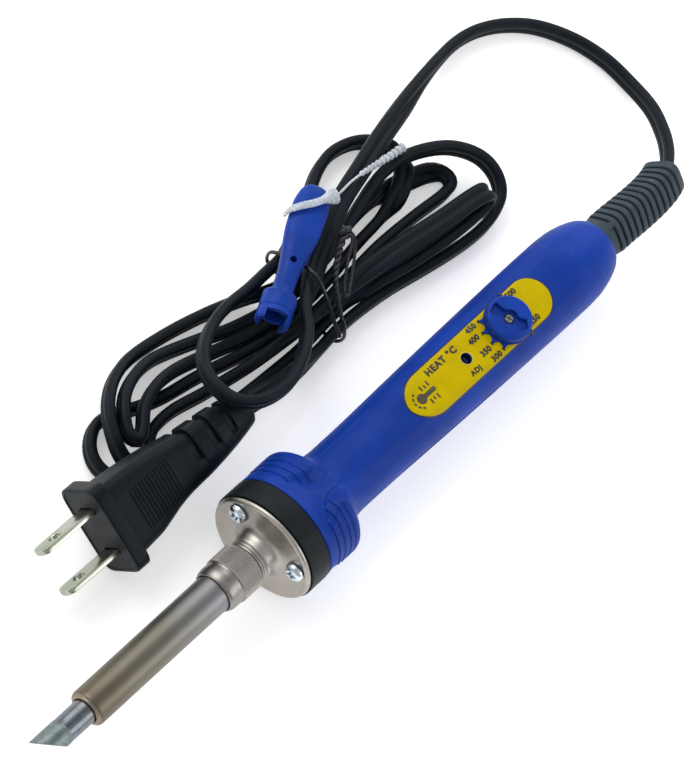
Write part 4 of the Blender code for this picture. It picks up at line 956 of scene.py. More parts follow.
def make_label():
    label = label_plate("label_plate", grow=0.0, lift=LABEL_LIFT, drop=0.04,
                        surface=label_film(), soft=0.3)
    place(label, "iron", "dial_label")
    # Painted shadow: a dark band round the label stands for the shade in the groove it sits in.
    dark = plain_surface("label_groove_painted_shadow", (0.004, 0.009, 0.055))
    place(label_plate("label_surround", grow=0.34, lift=0.09, drop=0.06, surface=dark,
                      soft=0.12), "iron")
    top = PAD_Z + LABEL_LIFT
    profile = rounded([(top, 1.64, .05), (top + 0.05, 1.72, .05), (top + 0.05, 1.90, .06),
                       (top - 0.12, 1.96), (top - 0.25, 1.94), (top - 0.25, 1.64)])
    pale = plain_surface("label_hole_rim", (0.52, 0.40, 0.04), roughness=0.4, vary=0.1)
    place(turned("trimmer_hole_rim", profile, pale, sides=64, base=(TRIMMER_X, 0, 0),
                 axis=Z_AXIS, ring=True), "iron")


def on_label(x, y, up):
    return (x, y, pad_height(x, y) + LABEL_LIFT + up)


def around_knob(r, angle):
    return (KNOB_X + r * cos(radians(angle)), r * sin(radians(angle)))


def lettering(text, height, x, y, weight, squeeze, gap):
    """A word as thin closed letters on the label, reading toward +X."""
    curve = bpy.data.curves.new("lettering", "FONT")
    curve.body = text
    curve.size = 1.0
    curve.offset = weight
    curve.extrude = 0.5
    curve.align_x = "CENTER"
    curve.align_y = "CENTER"
    curve.resolution_u = 5
    curve.space_character = gap
    ob = add_object("lettering", curve)
    bpy.context.view_layer.update()
    evaluated = ob.evaluated_get(bpy.context.evaluated_depsgraph_get())
    me = bpy.data.meshes.new_from_object(evaluated)
    bpy.data.objects.remove(ob, do_unlink=True)
    co = np.array([v.co for v in me.vertices], float)
    faces = [list(p.vertices) for p in me.polygons]
    bpy.data.meshes.remove(me)
    low, high = co.min(axis=0), co.max(axis=0)
    scale = height / (high[1] - low[1])
    middle = (high + low) / 2
    points = [on_label(x + (p[0] - middle[0]) * scale * squeeze, y + (p[1] - middle[1]) * scale,
                       0.13 if p[2] > 0 else -0.15) for p in co]
    return build("lettering", points, faces, sharp=60)


def decal(outline, up=0.08):
    points = [on_label(x, y, up) for x, y in outline]
    points += [on_label(x, y, -0.12) for x, y in outline]
    return build("mark", points, prism_faces(len(outline)), sharp=60)


# temperature, angle of its mark round the knob, x and y of the word
TICKS = (("500", 55, 183.7, 4.9), ("450", 141, 167.4, 5.15), ("400", 166, 165.7, 2.35),
         ("350", 192, 166.0, -2.05), ("300", 217, 167.4, -5.0), ("250", 298, 183.6, -4.5))
# radius, degrees from the mark's middle
TICK_OUTLINE = ((6.6, -3.0), (7.6, -2.4), (8.35, -4.2), (8.55, 3.6), (7.7, 2.2), (6.6, 3.0))


def make_lettering():
    marks = []
    for word, angle, x, y in TICKS:
        marks.append(lettering(word, height=1.75, x=x, y=y, weight=0.032, squeeze=1.0, gap=1.08))
        marks.append(decal([around_knob(r, angle + turn) for r, turn in TICK_OUTLINE]))
    marks.append(lettering("HEAT °C", height=2.15, x=154.0, y=4.15, weight=0.036,
                           squeeze=1.05, gap=1.14))
    marks.append(lettering("ADJ", height=1.95, x=159.7, y=-4.3, weight=0.03,
                           squeeze=1.05, gap=1.12))
    ink = plain_surface("label_ink", (0.006, 0.008, 0.016), roughness=0.4)
    place(join("label_lettering", marks, ink), "iron")


def make_sign():
    """Thermometer sign near the label's nose: bulb, stem, dashes beside it, arcs round the bulb."""
    sign_x, enlarge, bulb_x = 143.9, 1.28, -1.5

    def mark(outline, up=0.08):
        return decal([(sign_x + x * enlarge, y * enlarge) for x, y in outline], up)

    def arc(r, angles):
        return [(bulb_x + r * cos(radians(a)), r * sin(radians(a))) for a in angles]

    turns = [2 * pi * k / 28 for k in range(28)]
    stem_turns = [-pi / 2 + pi * k / 10 for k in range(11)]
    parts = [mark([(bulb_x + 1.15 * cos(t), 1.15 * sin(t)) for t in turns]),
             mark([(-0.9, -0.5)] + [(2.2 + 0.5 * cos(t), 0.5 * sin(t)) for t in stem_turns]
                  + [(-0.9, 0.5)], up=0.07)]
    for x, outer in ((-0.1, 2.3), (0.9, 1.9), (1.9, 2.3)):
        for side in (1, -1):
            y0, y1 = side * 1.15, side * outer
            parts.append(mark([(x - 0.2, y0), (x + 0.2, y0), (x + 0.2, y1),
                               (x - 0.2, y1)][::side]))
    for k in range(5):
        first, last = 111 + k * 30, 129 + k * 30
        parts.append(mark(arc(1.8, range(first, last + 1, 3))
                          + arc(2.2, range(last, first - 1, -3))))
    ink = plain_surface("label_ink_brown", (0.055, 0.045, 0.018), vary=0.35)
    place(join("label_sign", parts, ink), "iron")


def make_skirt():
    """Scalloped skirt under the knob, one point to each mark."""
    turns = [360.0 * k / 360 for k in range(360)]

    def outline(inset, half_width):
        points = []
        for angle in turns:
            near = min(abs((angle - tick[1] + 180) % 360 - 180) for tick in TICKS)
            r = 6.62 + 1.15 * exp(-(near / 4.6) ** 2) + 0.25 * exp(-(near / 11.0) ** 2)
            x, y = around_knob(r - inset, angle)
            points.append((x, max(-half_width, min(half_width, y))))
        return points

    top_z = 10.42
    foot, shoulder = outline(inset=0, half_width=6.35), outline(inset=0.12, half_width=6.3)
    bore = [around_knob(KNOB_HOLE_R, angle) for angle in turns]
    rings = [[(x, y, pad_height(x, y) - 0.1) for x, y in foot],
             [(x, y, min(top_z - 0.12, pad_height(x, y) + 0.62)) for x, y in foot],
             [(x, y, min(top_z, pad_height(x, y) + 0.72)) for x, y in shoulder],
             [(x, y, top_z) for x, y in bore],
             [(x, y, 9.6) for x, y in bore]]
    blue = moulded("dial_skirt_blue", (0.0025, 0.030, 0.225), grain=6000, depth=0.12,
                   specular=0.13)
    place(lofted("dial_skirt", rings, blue, sharp=40, loop=True), "iron")


# ======================================================================= knob, shaft, trimmer
KNOB_R, KNOB_TOP, POINTER = 6.45, 13.1, 288.0    # POINTER: where the knob points, degrees


def scaled_about(outline, scale):
    centre_x = sum(p[0] for p in outline) / len(outline)
    centre_y = sum(p[1] for p in outline) / len(outline)
    return [(centre_x + (x - centre_x) * scale, centre_y + (y - centre_y) * scale)
            for x, y in outline]


def knob_outline(corners, fillet):
    """Softened outline from (radius, degrees from the pointer) corners."""
    return rounded([(*around_knob(r, POINTER + turn), fillet) for r, turn in corners], seg=3)


def make_knob():
    profile = rounded([                          # z, radius, fillet
        (5.6, 1.5), (5.6, 3.2, .1), (10.5, 3.2), (10.5, 6.35, .08), (10.62, KNOB_R, .1),
        (12.72, KNOB_R - 0.02, .14), (KNOB_TOP, 6.02, .22), (KNOB_TOP, 5.72), (KNOB_TOP, 2.7),
        (KNOB_TOP, 1.62, .08), (KNOB_TOP - 0.15, 1.5, .05)])
    knob = turned("knob_dial", profile, knob_plastic(), sides=192, base=(KNOB_X, 0, 0),
                  axis=Z_AXIS, ring=True, phase=0.21)
    arrow = knob_outline(((1.9, -52), (3.1, -27), (4.75, -25.5), (5.75, 0), (4.75, 25.5),
                          (3.1, 27), (1.9, 52)), fillet=0.3)
    fan = knob_outline(((1.9, 146), (5.6, 161), (5.6, 173), (5.6, 187), (5.6, 199),
                        (1.9, 214)), fillet=0.35)
    floor_z = KNOB_TOP - 1.15
    tools = [prism(scaled_about(shape, 0.9), scaled_about(shape, 1.06), floor_z, KNOB_TOP + 0.4)
             for shape in (arrow, fan)]
    # chamfers round the two recesses
    tools += [prism(scaled_about(shape, 1.01), scaled_about(shape, 1.20), KNOB_TOP - 0.20,
                    KNOB_TOP + 0.06) for shape in (arrow, fan)]
    tools.append(drill([(floor_z + 0.001, 2.2), (KNOB_TOP + 0.5, 2.42)], sides=64,
                       base=(KNOB_X, 0, 0), axis=Z_AXIS, phase=0.4))
    cut(knob, tools, sharp=30)
    place(knob, "dial", "temperature_knob")


def make_shaft():
    profile = rounded([(3.6, 0), (3.6, 1.2, .1), (11.95, 1.2), (12.2, 1.0, .1), (12.2, 0)],
                      closed=False)
    grey = moulded("shaft_grey_plastic", (0.20, 0.20, 0.165), grain=5200, depth=0.15)
    shaft = turned("dial_shaft", profile, grey, sides=64, base=(KNOB_X, 0, 0), axis=Z_AXIS)
    c, s = cos(radians(POINTER)), sin(radians(POINTER))
    axes = ((c, s, 0), (-s, c, 0), Z_AXIS)
    cut(shaft, [block((KNOB_X, 0, 12.2), (4, 0.36, 1.4), axes),
                block((KNOB_X, 0, 12.25), (0.36, 1.5, 1.1), axes)])
    place(shaft, "dial", "potentiometer_shaft")


def make_trimmer():
    profile = rounded([(3.2, 0), (3.2, 1.3, .1), (7.85, 1.3), (8.1, 1.08, .1), (8.1, 0)],
                      closed=False)
    blue = moulded("trimmer_rotor_blue", (0.030, 0.050, 0.22), roughness=0.4, grain=5200,
                   depth=0.15)
    rotor = turned("trimmer_screw", profile, blue, sides=48, base=(TRIMMER_X, 0, 0),
                   axis=Z_AXIS)
    cut(rotor, [block((TRIMMER_X, 0, 8.15), size) for size in ((3.2, 0.46, 1.2),
                                                              (0.46, 3.2, 1.2))])
    place(rotor, "trimmer", "trimmer_rotor")


# ======================================================================= cord and bushing
CORD = [    # x, y, z, edge (0 flat, 1 on edge)
    # out of the handle and round behind it
    (206, 0, 0, 0), (214, 0, 0, 0), (222, 0, 0, .05), (229, -.2, 0, .2), (236, -.5, -.3, .4),
    (243, -.5, -.8, .6), (248.5, 0, -1.5, .8), (252.4, .9, -2.4, .9), (256.4, 2.9, -3.8, .95),
    (260.8, 5.8, -5.8, 1), (265.4, 10.4, -8.2, 1), (269.9, 17.6, -10.9, 1),
    (272, 27, -13.2, 1), (271.8, 36.6, -13.6, 1), (268.9, 46.4, -13.6, 1),
    (263.4, 55.6, -13.6, 1), (256.4, 61.9, -13.6, 1), (248.6, 65.8, -13.6, 1),
    (240.6, 67.2, -13, 1), (232, 66.7, -11.8, .9), (222.6, 65.3, -9.6, .7),
    (213, 63.4, -7.4, .45), (203.6, 61.6, -5.4, .25), (194.8, 59.8, -3.6, .15),
    (184.7, 57.3, -1.8, .1), (175.3, 55.1, -.6, .1), (167.5, 52.6, 0, .1), (158, 48.3, .4, .1),
    (151, 45, .6, .2),
    # highest loop
    (144, 41.5, 1.6, .5), (139, 38.2, 2.6, .8), (134.1, 33.6, 4.0, 1), (126.4, 29.2, 5.8, 1),
    (117.3, 26.6, 7.0, 1), (108.1, 28.2, 7.5, 1), (102.8, 33.2, 7.4, 1), (102.5, 40.2, 6.1, 1),
    (106.5, 46.6, 3.8, 1), (114.8, 51.2, .8, 1), (123.8, 53.2, -1.2, 1), (134, 53.2, -3.4, 1),
    (142.5, 53.6, -5.6, 1), (150, 54, -6.2, 1),
    # loop at the +X, +Y side of the bundle
    (158, 56.3, -7.5, 1), (166, 59, -10.4, 1), (173, 62.2, -12.8, 1), (180.5, 65.6, -13.6, 1),
    (187, 66.9, -13.6, 1), (192.6, 66, -13.4, 1), (197, 63.8, -13.2, .95),
    (200.4, 60, -12.8, .75), (201.6, 55.2, -11.4, .4), (199, 50, -10.6, .1),
    (192.4, 46.3, -11.5, .2), (184, 44.8, -13.5, 1), (173, 43.8, -13.6, 1),
    (162, 42.2, -13.2, 1), (150, 41.4, -12.4, 1),
    # hairpin toward -X
    (140, 42.8, -13, 1), (130, 44.8, -13.6, 1), (118, 48.1, -13.2, 1), (106, 50.6, -10.6, 1),
    (97, 50.6, -8, 1), (90, 48.4, -7, 1), (85.5, 44.8, -7.2, 1), (82.4, 43.0, -7.4, 1),
    (81, 46, -7, 1), (83.6, 50.2, -6.6, 1), (88, 54, -7, 1), (94, 56.2, -8.6, 1),
    (101, 57, -11, 1), (108, 56, -12.8, 1), (119, 52.6, -13.6, 1), (128, 49.3, -13.6, 1),
    (140, 46.5, -13.2, 1), (150, 45.2, -12.4, 1),
    # inner loop toward +X
    (160, 46.2, -13.2, 1), (169, 48, -13.6, 1), (178, 49.6, -13.6, 1), (187, 50, -13.6, .9),
    (194.5, 49, -14.7, .2), (200.6, 47.6, -14.8, .1), (206, 45.6, -14.2, .4),
    (208.8, 42.4, -13.6, .8), (208.2, 39.2, -13.6, 1), (203.4, 38.4, -13.6, 1),
    (192, 39.2, -13.6, 1), (178, 39.6, -13.6, 1), (164, 38.7, -13.4, 1), (150, 37.6, -12.4, 1),
    # farthest loop toward -X
    (143, 38.6, -13, 1), (127, 41.8, -13.6, 1), (111, 45.6, -13.6, 1), (100, 47.6, -13.6, 1),
    (92, 50, -13.6, 1), (85, 53, -13.6, 1), (79, 53.8, -13.6, 1), (74, 51, -13.6, 1),
    (71.4, 46.5, -13.6, 1), (71.8, 41.5, -13.6, 1), (75.5, 37.4, -13.6, 1), (81, 35, -13.6, 1),
    (90, 33.8, -13.6, 1), (100, 33.6, -13.6, 1), (112, 34, -13.6, 1), (125, 33.4, -13.6, 1),
    (138, 33.0, -13.2, 1), (150, 33.8, -12.4, 1),
    # flat fold back over itself at +X
    (158, 34.4, -10.9, .7), (167, 33.4, -8.9, .2), (180, 31, -8.5, .05), (193.5, 29.4, -8.4, 0),
    (203.4, 29.0, -8.4, 0), (208.4, 29.2, -8.0, 0), (210.2, 30, -6.4, 0), (208.4, 30.8, -4.8, 0),
    (203.4, 31.6, -4.5, 0), (193.5, 32.6, -4.4, 0), (183, 34, -4.3, .05), (172, 35.4, -4.2, .15),
    (162, 36.4, -4.5, .4), (155, 36.5, -5.3, .75), (150, 36.2, -6.2, 1),
    # outer loop toward -X
    (143, 36.4, -6.6, 1), (134, 37.1, -8.4, 1), (123, 38.6, -11.6, 1), (109, 41.2, -13.4, 1),
    (98, 43.4, -13.6, 1), (90, 43, -13.6, 1), (85.5, 40.4, -13.6, 1), (81.4, 39.0, -13.0, 1),
    (77.8, 40.6, -11.8, 1), (76.8, 43.8, -9.6, 1), (77.5, 47.8, -7.4, 1), (80, 52.2, -6.8, 1),
    (84.4, 56.4, -7.4, 1), (91, 59.6, -9.6, 1), (100, 61, -12.4, 1), (113, 59.6, -13.6, 1),
    (126, 56.6, -13.6, 1), (137, 53, -13.3, 1), (141.5, 50.4, -10.9, 1), (146, 48, -7.8, 1),
    (150, 46.5, -6.4, 1),
    # outer loop toward +X
    (160, 46, -6.2, 1), (170, 48.4, -6.1, 1), (180, 51, -6, 1), (188, 52.7, -5.7, 1),
    (196.6, 52.7, -5.3, 1), (205.2, 49.9, -5.5, 1), (212.4, 45.6, -6.6, 1),
    (217.5, 39.4, -8.4, 1), (218.8, 33.1, -10.6, 1), (216.2, 27.8, -12.4, 1),
    (209.6, 25, -13.4, 1), (202, 24.5, -13.6, 1), (192.9, 25.4, -13.6, 1), (183, 27, -13.6, 1),
    (171.8, 29, -13.6, 1), (160, 30.1, -13.2, 1), (150, 30.1, -12.4, 1),
    # into the plug
    (142, 29.4, -12, 1), (133, 28.8, -9, .8), (124, 28.9, -5, .55), (117, 29.5, -2.4, .42),
    (109.9, 30.4, -1.15, .35)]


def twin_section():
    """Two round conductors side by side with a valley between them on each wide face."""
    half_width, lobe_r, valley_half = 2.92, 1.60, 0.98
    centre = half_width - lobe_r
    points = []
    for angle in ring_angles(28):
        across, up = cos(angle), sin(angle)
        reach = 0.0                              # farthest crossing of either conductor's circle
        for side in (-centre, centre):
            b = across * side
            square = b * b - (side * side - lobe_r * lobe_r)
            if square >= 0:
                reach = max(reach, b + sqrt(square))
        r = max(reach, min(valley_half / max(abs(up), 1e-6), half_width))
        points.append((across * r, up * r))
    return points


def make_cord():
    path = spline(CORD, 1.3)
    cord = lofted("cord_twin", sweep(path, [twin_section()] * len(path)), cord_vinyl(), sharp=70)
    place(cord, "iron", "power_cord")


def make_bushing():
    """Round inside the handle, then squarish with twelve grooves, following the cord."""
    sides, grooves, first_groove = 120, 12, 9.6      # first_groove: distance from the inner end
    control = [(214.5, 0, 0, 0), (216.8, 0, 0, 0), (219.6, 0, 0, 0), (219.9, 0, 0, 0)]
    control += [(x, y, z, 0) for x, y, z, _ in CORD[3:8]]
    centre = np.array(spline(control, 0.05))
    arc = arc_lengths(centre)
    length = arc[-1]
    pitch = (length - 1.6 - first_groove) / grooves
    width = 0.44 * pitch

    def at_arc(s):
        return [float(np.interp(s, arc, centre[:, k])) for k in range(4)]

    # distance from the inner end, groove depth, groove number
    stations = [(s, 0, -1) for s in (0, 1, 2, 3, 4, 5.05, 5.15, 5.4, 5.8, 6.6, 7.4, 8.2, 8.9, 9.3)]
    groove = ((0.0, 0.0), (0.07, 0.25), (0.13, 0.8), (0.22, 1.0), (width / 2, 1.0),
              (width - 0.22, 1.0), (width - 0.13, 0.8), (width - 0.07, 0.25), (width, 0.0),
              (width + 0.3, -0.03), ((width + pitch) / 2, -0.04), (pitch - 0.3, -0.03))
    for g in range(grooves):
        stations += [(first_groove + g * pitch + along, depth, g) for along, depth in groove]
    stations += [(length - 1.4, 0.0, -1), (length - 0.9, -0.04, -1), (length - 0.45, 0.02, -1),
                 (length - 0.15, 0.22, -1), (length, 0.5, -1)]

    def section(s, depth, g):
        if s < 5.0:
            half, power, turn = 5.7, 1.0, 0.0
        else:
            t = max(0.0, min(1.0, (s - 5.4) / (length - 5.4)))
            half = 6.45 - 0.72 * smooth_step(5.0, 9.0, s) - 0.30 * t
            power = 1.0 - 0.42 * smooth_step(5.5, 12.0, s)
            turn = radians(40)
        x, y = oval(half, half, sides, power).T
        sunk = depth * 1.05 * np.ones(sides)
        if g == 0 and depth > 0:                 # the first groove fades out on the diagonals
            from_diagonal = np.abs((ring_angles(sides) % (pi / 2)) - pi / 4)
            sunk = sunk * smooth_step(0.16, 0.30, from_diagonal)
        radius = np.hypot(x, y)
        x, y = x * (radius - sunk) / radius, y * (radius - sunk) / radius
        return np.stack([x * cos(turn) - y * sin(turn), x * sin(turn) + y * cos(turn)], -1)

    outer = sweep([at_arc(s) for s, _, _ in stations], [section(*row) for row in stations])
    bore_rows = [at_arc(s) for s in (length, length - 0.3, length * 0.75, length * 0.5,
                                     length * 0.3, 5.0, 0.0)]
    bore = sweep(bore_rows, [oval(3.45, 3.45, sides)] * len(bore_rows))
    # The paler colour given for convex edges is a painted highlight.
    rubber = moulded("bushing_grey_rubber", (0.030, 0.046, 0.060), roughness=0.52, grain=3800,
                     depth=0.2, vary=0.14, edge=0.5, edge_highlight_colour=(0.085, 0.115, 0.14), specular=0.2)
    bushing = lofted("bushing_ribbed", outer + bore, rubber, sharp=42, loop=True)
    place(bushing, "iron", "cord_bushing")


# ======================================================================= plug
PLUG_FACE = np.array((53.5, 31.6, -2.95))
PLUG_AXIS = unit((-0.9985, 0.02, -0.04))         # the way the blades point
PLUG_THICK = unit(np.cross((-0.015, 0.9, 0.436), PLUG_AXIS))
PLUG_WIDE = unit(np.cross(PLUG_AXIS, PLUG_THICK))
BLADE_PITCH, BLADE_W, BLADE_T = 12.7, 6.35, 1.5
BLADE_OUT, BLADE_IN = 18.0, 10.0                 # lengths outside and inside the moulding
BLADE_ROOTS = [PLUG_FACE + PLUG_WIDE * side * BLADE_PITCH / 2 for side in (1, -1)]

# distance back from the face, half width toward +wide and -wide, half thickness, squareness
PLUG_ROWS = [
    (0.0, 12.7, 12.7, 8.4, .30), (0.12, 12.9, 12.9, 8.6, .30), (0.45, 13.1, 13.1, 8.8, .30),
    (4.1, 13.1, 13.1, 8.8, .30), (4.45, 12.9, 12.9, 8.6, .30), (4.6, 12.2, 12.2, 7.8, .34),
    (4.8, 11.2, 11.2, 6.9, .40), (8.0, 11.0, 10.8, 6.6, .42), (13.0, 10.7, 10.5, 6.4, .46),
    (18.0, 10.2, 9.4, 6.2, .50), (22.0, 9.7, 8.4, 6.0, .52), (26.0, 9.0, 7.8, 5.8, .55),
    (30.0, 8.2, 7.6, 5.5, .58), (34.0, 7.7, 7.5, 5.2, .60), (38.0, 7.3, 7.2, 4.9, .62),
    (43.0, 6.9, 6.7, 4.5, .66), (48.0, 6.2, 6.0, 4.1, .72), (52.0, 5.4, 5.3, 3.6, .78),
    (54.4, 4.8, 4.7, 3.1, .85), (55.0, 4.2, 4.1, 2.6, .9)]
RELIEF_STEPS = ((33.2, 1.15, 1.15), (40.2, 1.0, 1.05), (46.8, 0.9, 0.9))  # middle, half, depth
RELIEF_PADS = ((36.7, 1.9), (43.5, 1.8))                                  # middle, half length


def plug_section(s):
    """Half outlines (wide, thick) of the moulding at distance s behind the face."""
    upper, lower, half_thick, power = (read_table(PLUG_ROWS, s, k) for k in range(1, 5))
    sides = 180
    half_wide = np.where(np.cos(ring_angles(sides)) > 0, upper, lower)
    wide, thick = oval(half_wide, half_thick, sides, power).T
    # ribbed finger panels on both broad faces
    if 9.4 < s < 24.4:
        phase = ((s - 9.4) / 1.15) % 1.0
        rib = smooth_step(0.10, 0.30, phase) * (1 - smooth_step(0.62, 0.82, phase))
        window = 1 - smooth_step(5.7, 6.2, np.abs(wide + 0.2))
        broad = np.abs(thick) > 0.55 * half_thick
        thick = thick - np.sign(thick) * 0.32 * rib * window * broad
    # notches of the strain relief, open on the +wide side
    for middle, half, depth in RELIEF_STEPS:
        inside = smooth_step(half + 0.22, half - 0.06, abs(s - middle))
        sunk = depth * inside * smooth_step(-2.6, -1.6, wide)
        scale = 1 - sunk / np.hypot(wide, thick)
        wide, thick = wide * scale, thick * scale
    # raised pads between the notches on the broad faces
    for middle, half in RELIEF_PADS:
        inside = smooth_step(half + 0.25, half - 0.1, abs(s - middle))
        raised = 0.28 * inside * (1 - smooth_step(2.6, 3.3, np.abs(wide + 0.3)))
        thick = thick + np.sign(thick) * raised
    return wide, thick


def make_plug():
    def ring(s, wide, thick):
        return (PLUG_FACE - PLUG_AXIS * s + wide[:, None] * PLUG_WIDE
                + thick[:, None] * PLUG_THICK)

    stations = sorted({round(v, 3) for v in np.concatenate([
        [0.0, 0.05, 0.12, 0.25, 0.45, 1.5, 3.0, 4.1, 4.28, 4.45, 4.52, 4.6, 4.7, 4.8, 5.1, 5.6],
        np.arange(6.2, 9.0, 0.8), np.arange(9.0, 25.4, 0.11), np.arange(25.5, 31.0, 0.6),
        np.arange(31.0, 50.0, 0.18), np.arange(50.0, 54.4, 0.5), [54.4, 54.7, 54.9, 55.0]])})
    # the face is sunk a little inside its rim
    wide, thick = oval(12.2, 7.9, 180, 0.3).T
    rings = [ring(0.22, wide * 0.985, thick * 0.975), ring(0.0, wide, thick)]
    rings += [ring(s, *plug_section(s)) for s in stations]
    # The paler colour given for convex edges is a painted highlight.
    vinyl = moulded("plug_black_pvc", (0.0022, 0.0055, 0.0090), grain=4200, depth=0.24,
                    vary=0.25, edge=0.5, edge_highlight_colour=(0.035, 0.045, 0.055), specular=0.14)
    plug = lofted("plug_moulding", rings, vinyl, sharp=34)
    pocket = (2 * (BLADE_IN + 0.4), BLADE_W + 0.5, BLADE_T + 0.5)
    cut(plug, [block(root, pocket, (PLUG_AXIS, PLUG_THICK, PLUG_WIDE)) for root in BLADE_ROOTS],
        sharp=34)
    place(plug, "iron", "plug_body")


def make_blades():
    half, bevel = BLADE_W / 2, 0.2
    middle = (BLADE_OUT - BLADE_IN) / 2
    outline = rounded([(-BLADE_IN, -half), (BLADE_OUT, -half, 2.6), (BLADE_OUT, half, 2.6),
                       (-BLADE_IN, half)], seg=10)
    layers = ((-BLADE_T / 2, bevel), (-BLADE_T / 2 + bevel * 0.3, bevel * 0.3),
              (-BLADE_T / 2 + bevel, 0.0), (BLADE_T / 2 - bevel, 0.0),
              (BLADE_T / 2 - bevel * 0.3, bevel * 0.3), (BLADE_T / 2, bevel))  # offset, inset

    def inset(x, y, amount):
        near_end = min(1.0, max(0.0, (abs(x - middle) - 8.0) / 5.0))
        return x - (amount if x > 0 else -amount) * near_end, y - amount * (y / half)

    nickel = blade_metal()
    for i, root in enumerate(BLADE_ROOTS, 1):
        rings = []
        for offset, amount in layers:
            points = [inset(x, y, amount) for x, y in outline]
            rings.append([root + PLUG_AXIS * x + PLUG_THICK * y + PLUG_WIDE * offset
                          for x, y in points])
        blade = lofted("blade_%d_flat_pin" % i, rings, nickel, sharp=30)
        hole = drill([(-0.80, 1.92), (-0.55, 1.66), (0.55, 1.66), (0.80, 1.92)], sides=40,
                     base=root + PLUG_AXIS * 11.7, axis=PLUG_WIDE)
        cut(blade, [hole], sharp=30)
        place(blade, "iron", "plug_blade_%d" % i)


# ======================================================================= twist tie
TIE = [     # x, y, z, radius
    (165.0, 47.4, 4.7, 1.3), (163.2, 46.5, 4.7, 1.6), (161.4, 45.6, 4.6, 0.9),
    (158, 43.8, 4.2, 0.9), (154, 40.7, 2.8, 0.9), (151.5, 37, 0.4, 0.8), (150.4, 33, -3.4, 0.7),
    (149.8, 28.8, -7.6, 0.5), (149.6, 27.3, -11.5, 0.5), (149.4, 28.6, -15.3, 0.5),
    (149.2, 32, -16.05, 0.48), (149, 40, -16.1, 0.48), (148.8, 46, -16.05, 0.48),
    (148.6, 48.6, -13.6, 0.5), (148.5, 51.6, -10.8, 0.5), (148.4, 56.0, -9.8, 0.5),
    (148.3, 57.0, -5.6, 0.5), (148.2, 55.0, -2.2, 0.5), (148.1, 51, .8, 0.5),
    (148, 47.6, 3.4, 0.5), (147.8, 43, 4.7, 0.5), (147.5, 38.6, 2.4, 0.5),
    (147.2, 34.4, -1.6, 0.5), (147.2, 31.0, -5.0, 0.5), (147.4, 28.0, -8.2, 0.5)]
SPARE_LOOP = [
    (163.2, 46.2, 4.9), (163.6, 45.0, 5.6), (163.0, 43.9, 5.2), (160.5, 42.0, 4.2),
    (157.0, 39.4, 2.9), (154.2, 37.0, 1.6), (152.9, 35.4, .8), (152.6, 34.5, .3),
    (153.4, 34.2, .4), (155.0, 35.6, 1.2), (158.0, 38.0, 2.6), (161.2, 40.6, 3.8),
    (163.4, 42.8, 4.5), (164.6, 44.6, 4.8), (164.8, 46.2, 4.6)]


def make_twist_tie():
    """Two strands twisted together, then a band round the bundle, and a spare loop."""
    path = np.array(spline(TIE, 0.4))
    points, side, other = carried(path)
    arc = arc_lengths(points)
    twisted_length = 27.0
    end = int(np.searchsorted(arc, twisted_length))
    arc, radius = arc[:end], np.maximum(path[:end, 3], 0.46)
    pitch = np.interp(arc, [0, 3, 8, twisted_length], [5.0, 5.0, 4.6, 3.2])
    offset = radius * 0.50
    strands = []
    for k in (0, 1):
        phase = arc / pitch * 2 * pi + k * pi
        strand = (points[:end] + side[:end] * (np.cos(phase) * offset)[:, None]
                  + other[:end] * (np.sin(phase) * offset)[:, None])
        strands.append(lofted("strand", wire_rings(strand, radius * 0.60, sides=12), sharp=60))
    band = wire_rings(points[end - 3:], 0.58, sides=14, flat=0.8)
    strands.append(lofted("strand", band, sharp=60))
    spare = wire_rings(spline(SPARE_LOOP, 0.5), 0.42, sides=12)
    strands.append(lofted("strand", spare, sharp=60))
    # The paler colour given for convex edges is a painted highlight.
    black = moulded("tie_black_plastic", (0.006, 0.008, 0.011), roughness=0.24, grain=3000,
                    depth=0.1, vary=0.2, edge=0.3, edge_highlight_colour=(0.04, 0.045, 0.055), specular=0.35)
    place(join("tie_twisted", strands, black), "iron", "twist_tie")


# ======================================================================= dial key, loop tie
KEY_START, KEY_LENGTH = np.array((166.0, 60.4, 6.2)), 42.5
KEY_ALONG = unit(np.array((128.0, 41.6, 4.4)) - KEY_START)
KEY_SIDE = unit(np.cross(KEY_ALONG, Z_AXIS))
KEY_UP = np.cross(KEY_SIDE, KEY_ALONG)
# distance along the key, half width, half height
KEY_GRIP = [(0.0, 1.3, 1.0), (0.25, 2.2, 1.5), (0.8, 3.1, 2.0), (2.6, 4.2, 2.5),
            (7.0, 5.0, 2.75), (13.0, 4.9, 2.75), (19.0, 4.15, 2.75), (24.0, 3.3, 2.75),
            (28.0, 2.95, 2.75), (31.8, 2.9, 2.75)]
# distance along the key, radius, fillet
KEY_SOCKET = [(32.2, 2.92), (33.0, 3.1, .3), (33.4, 4.4, .4), (34.0, 4.8, .3), (38.2, 4.8, .1),
              (38.4, 4.62, .1), (38.7, 4.62, .1), (38.9, 4.8, .1), (41.9, 4.8, .1),
              (KEY_LENGTH, 4.55, .1)]


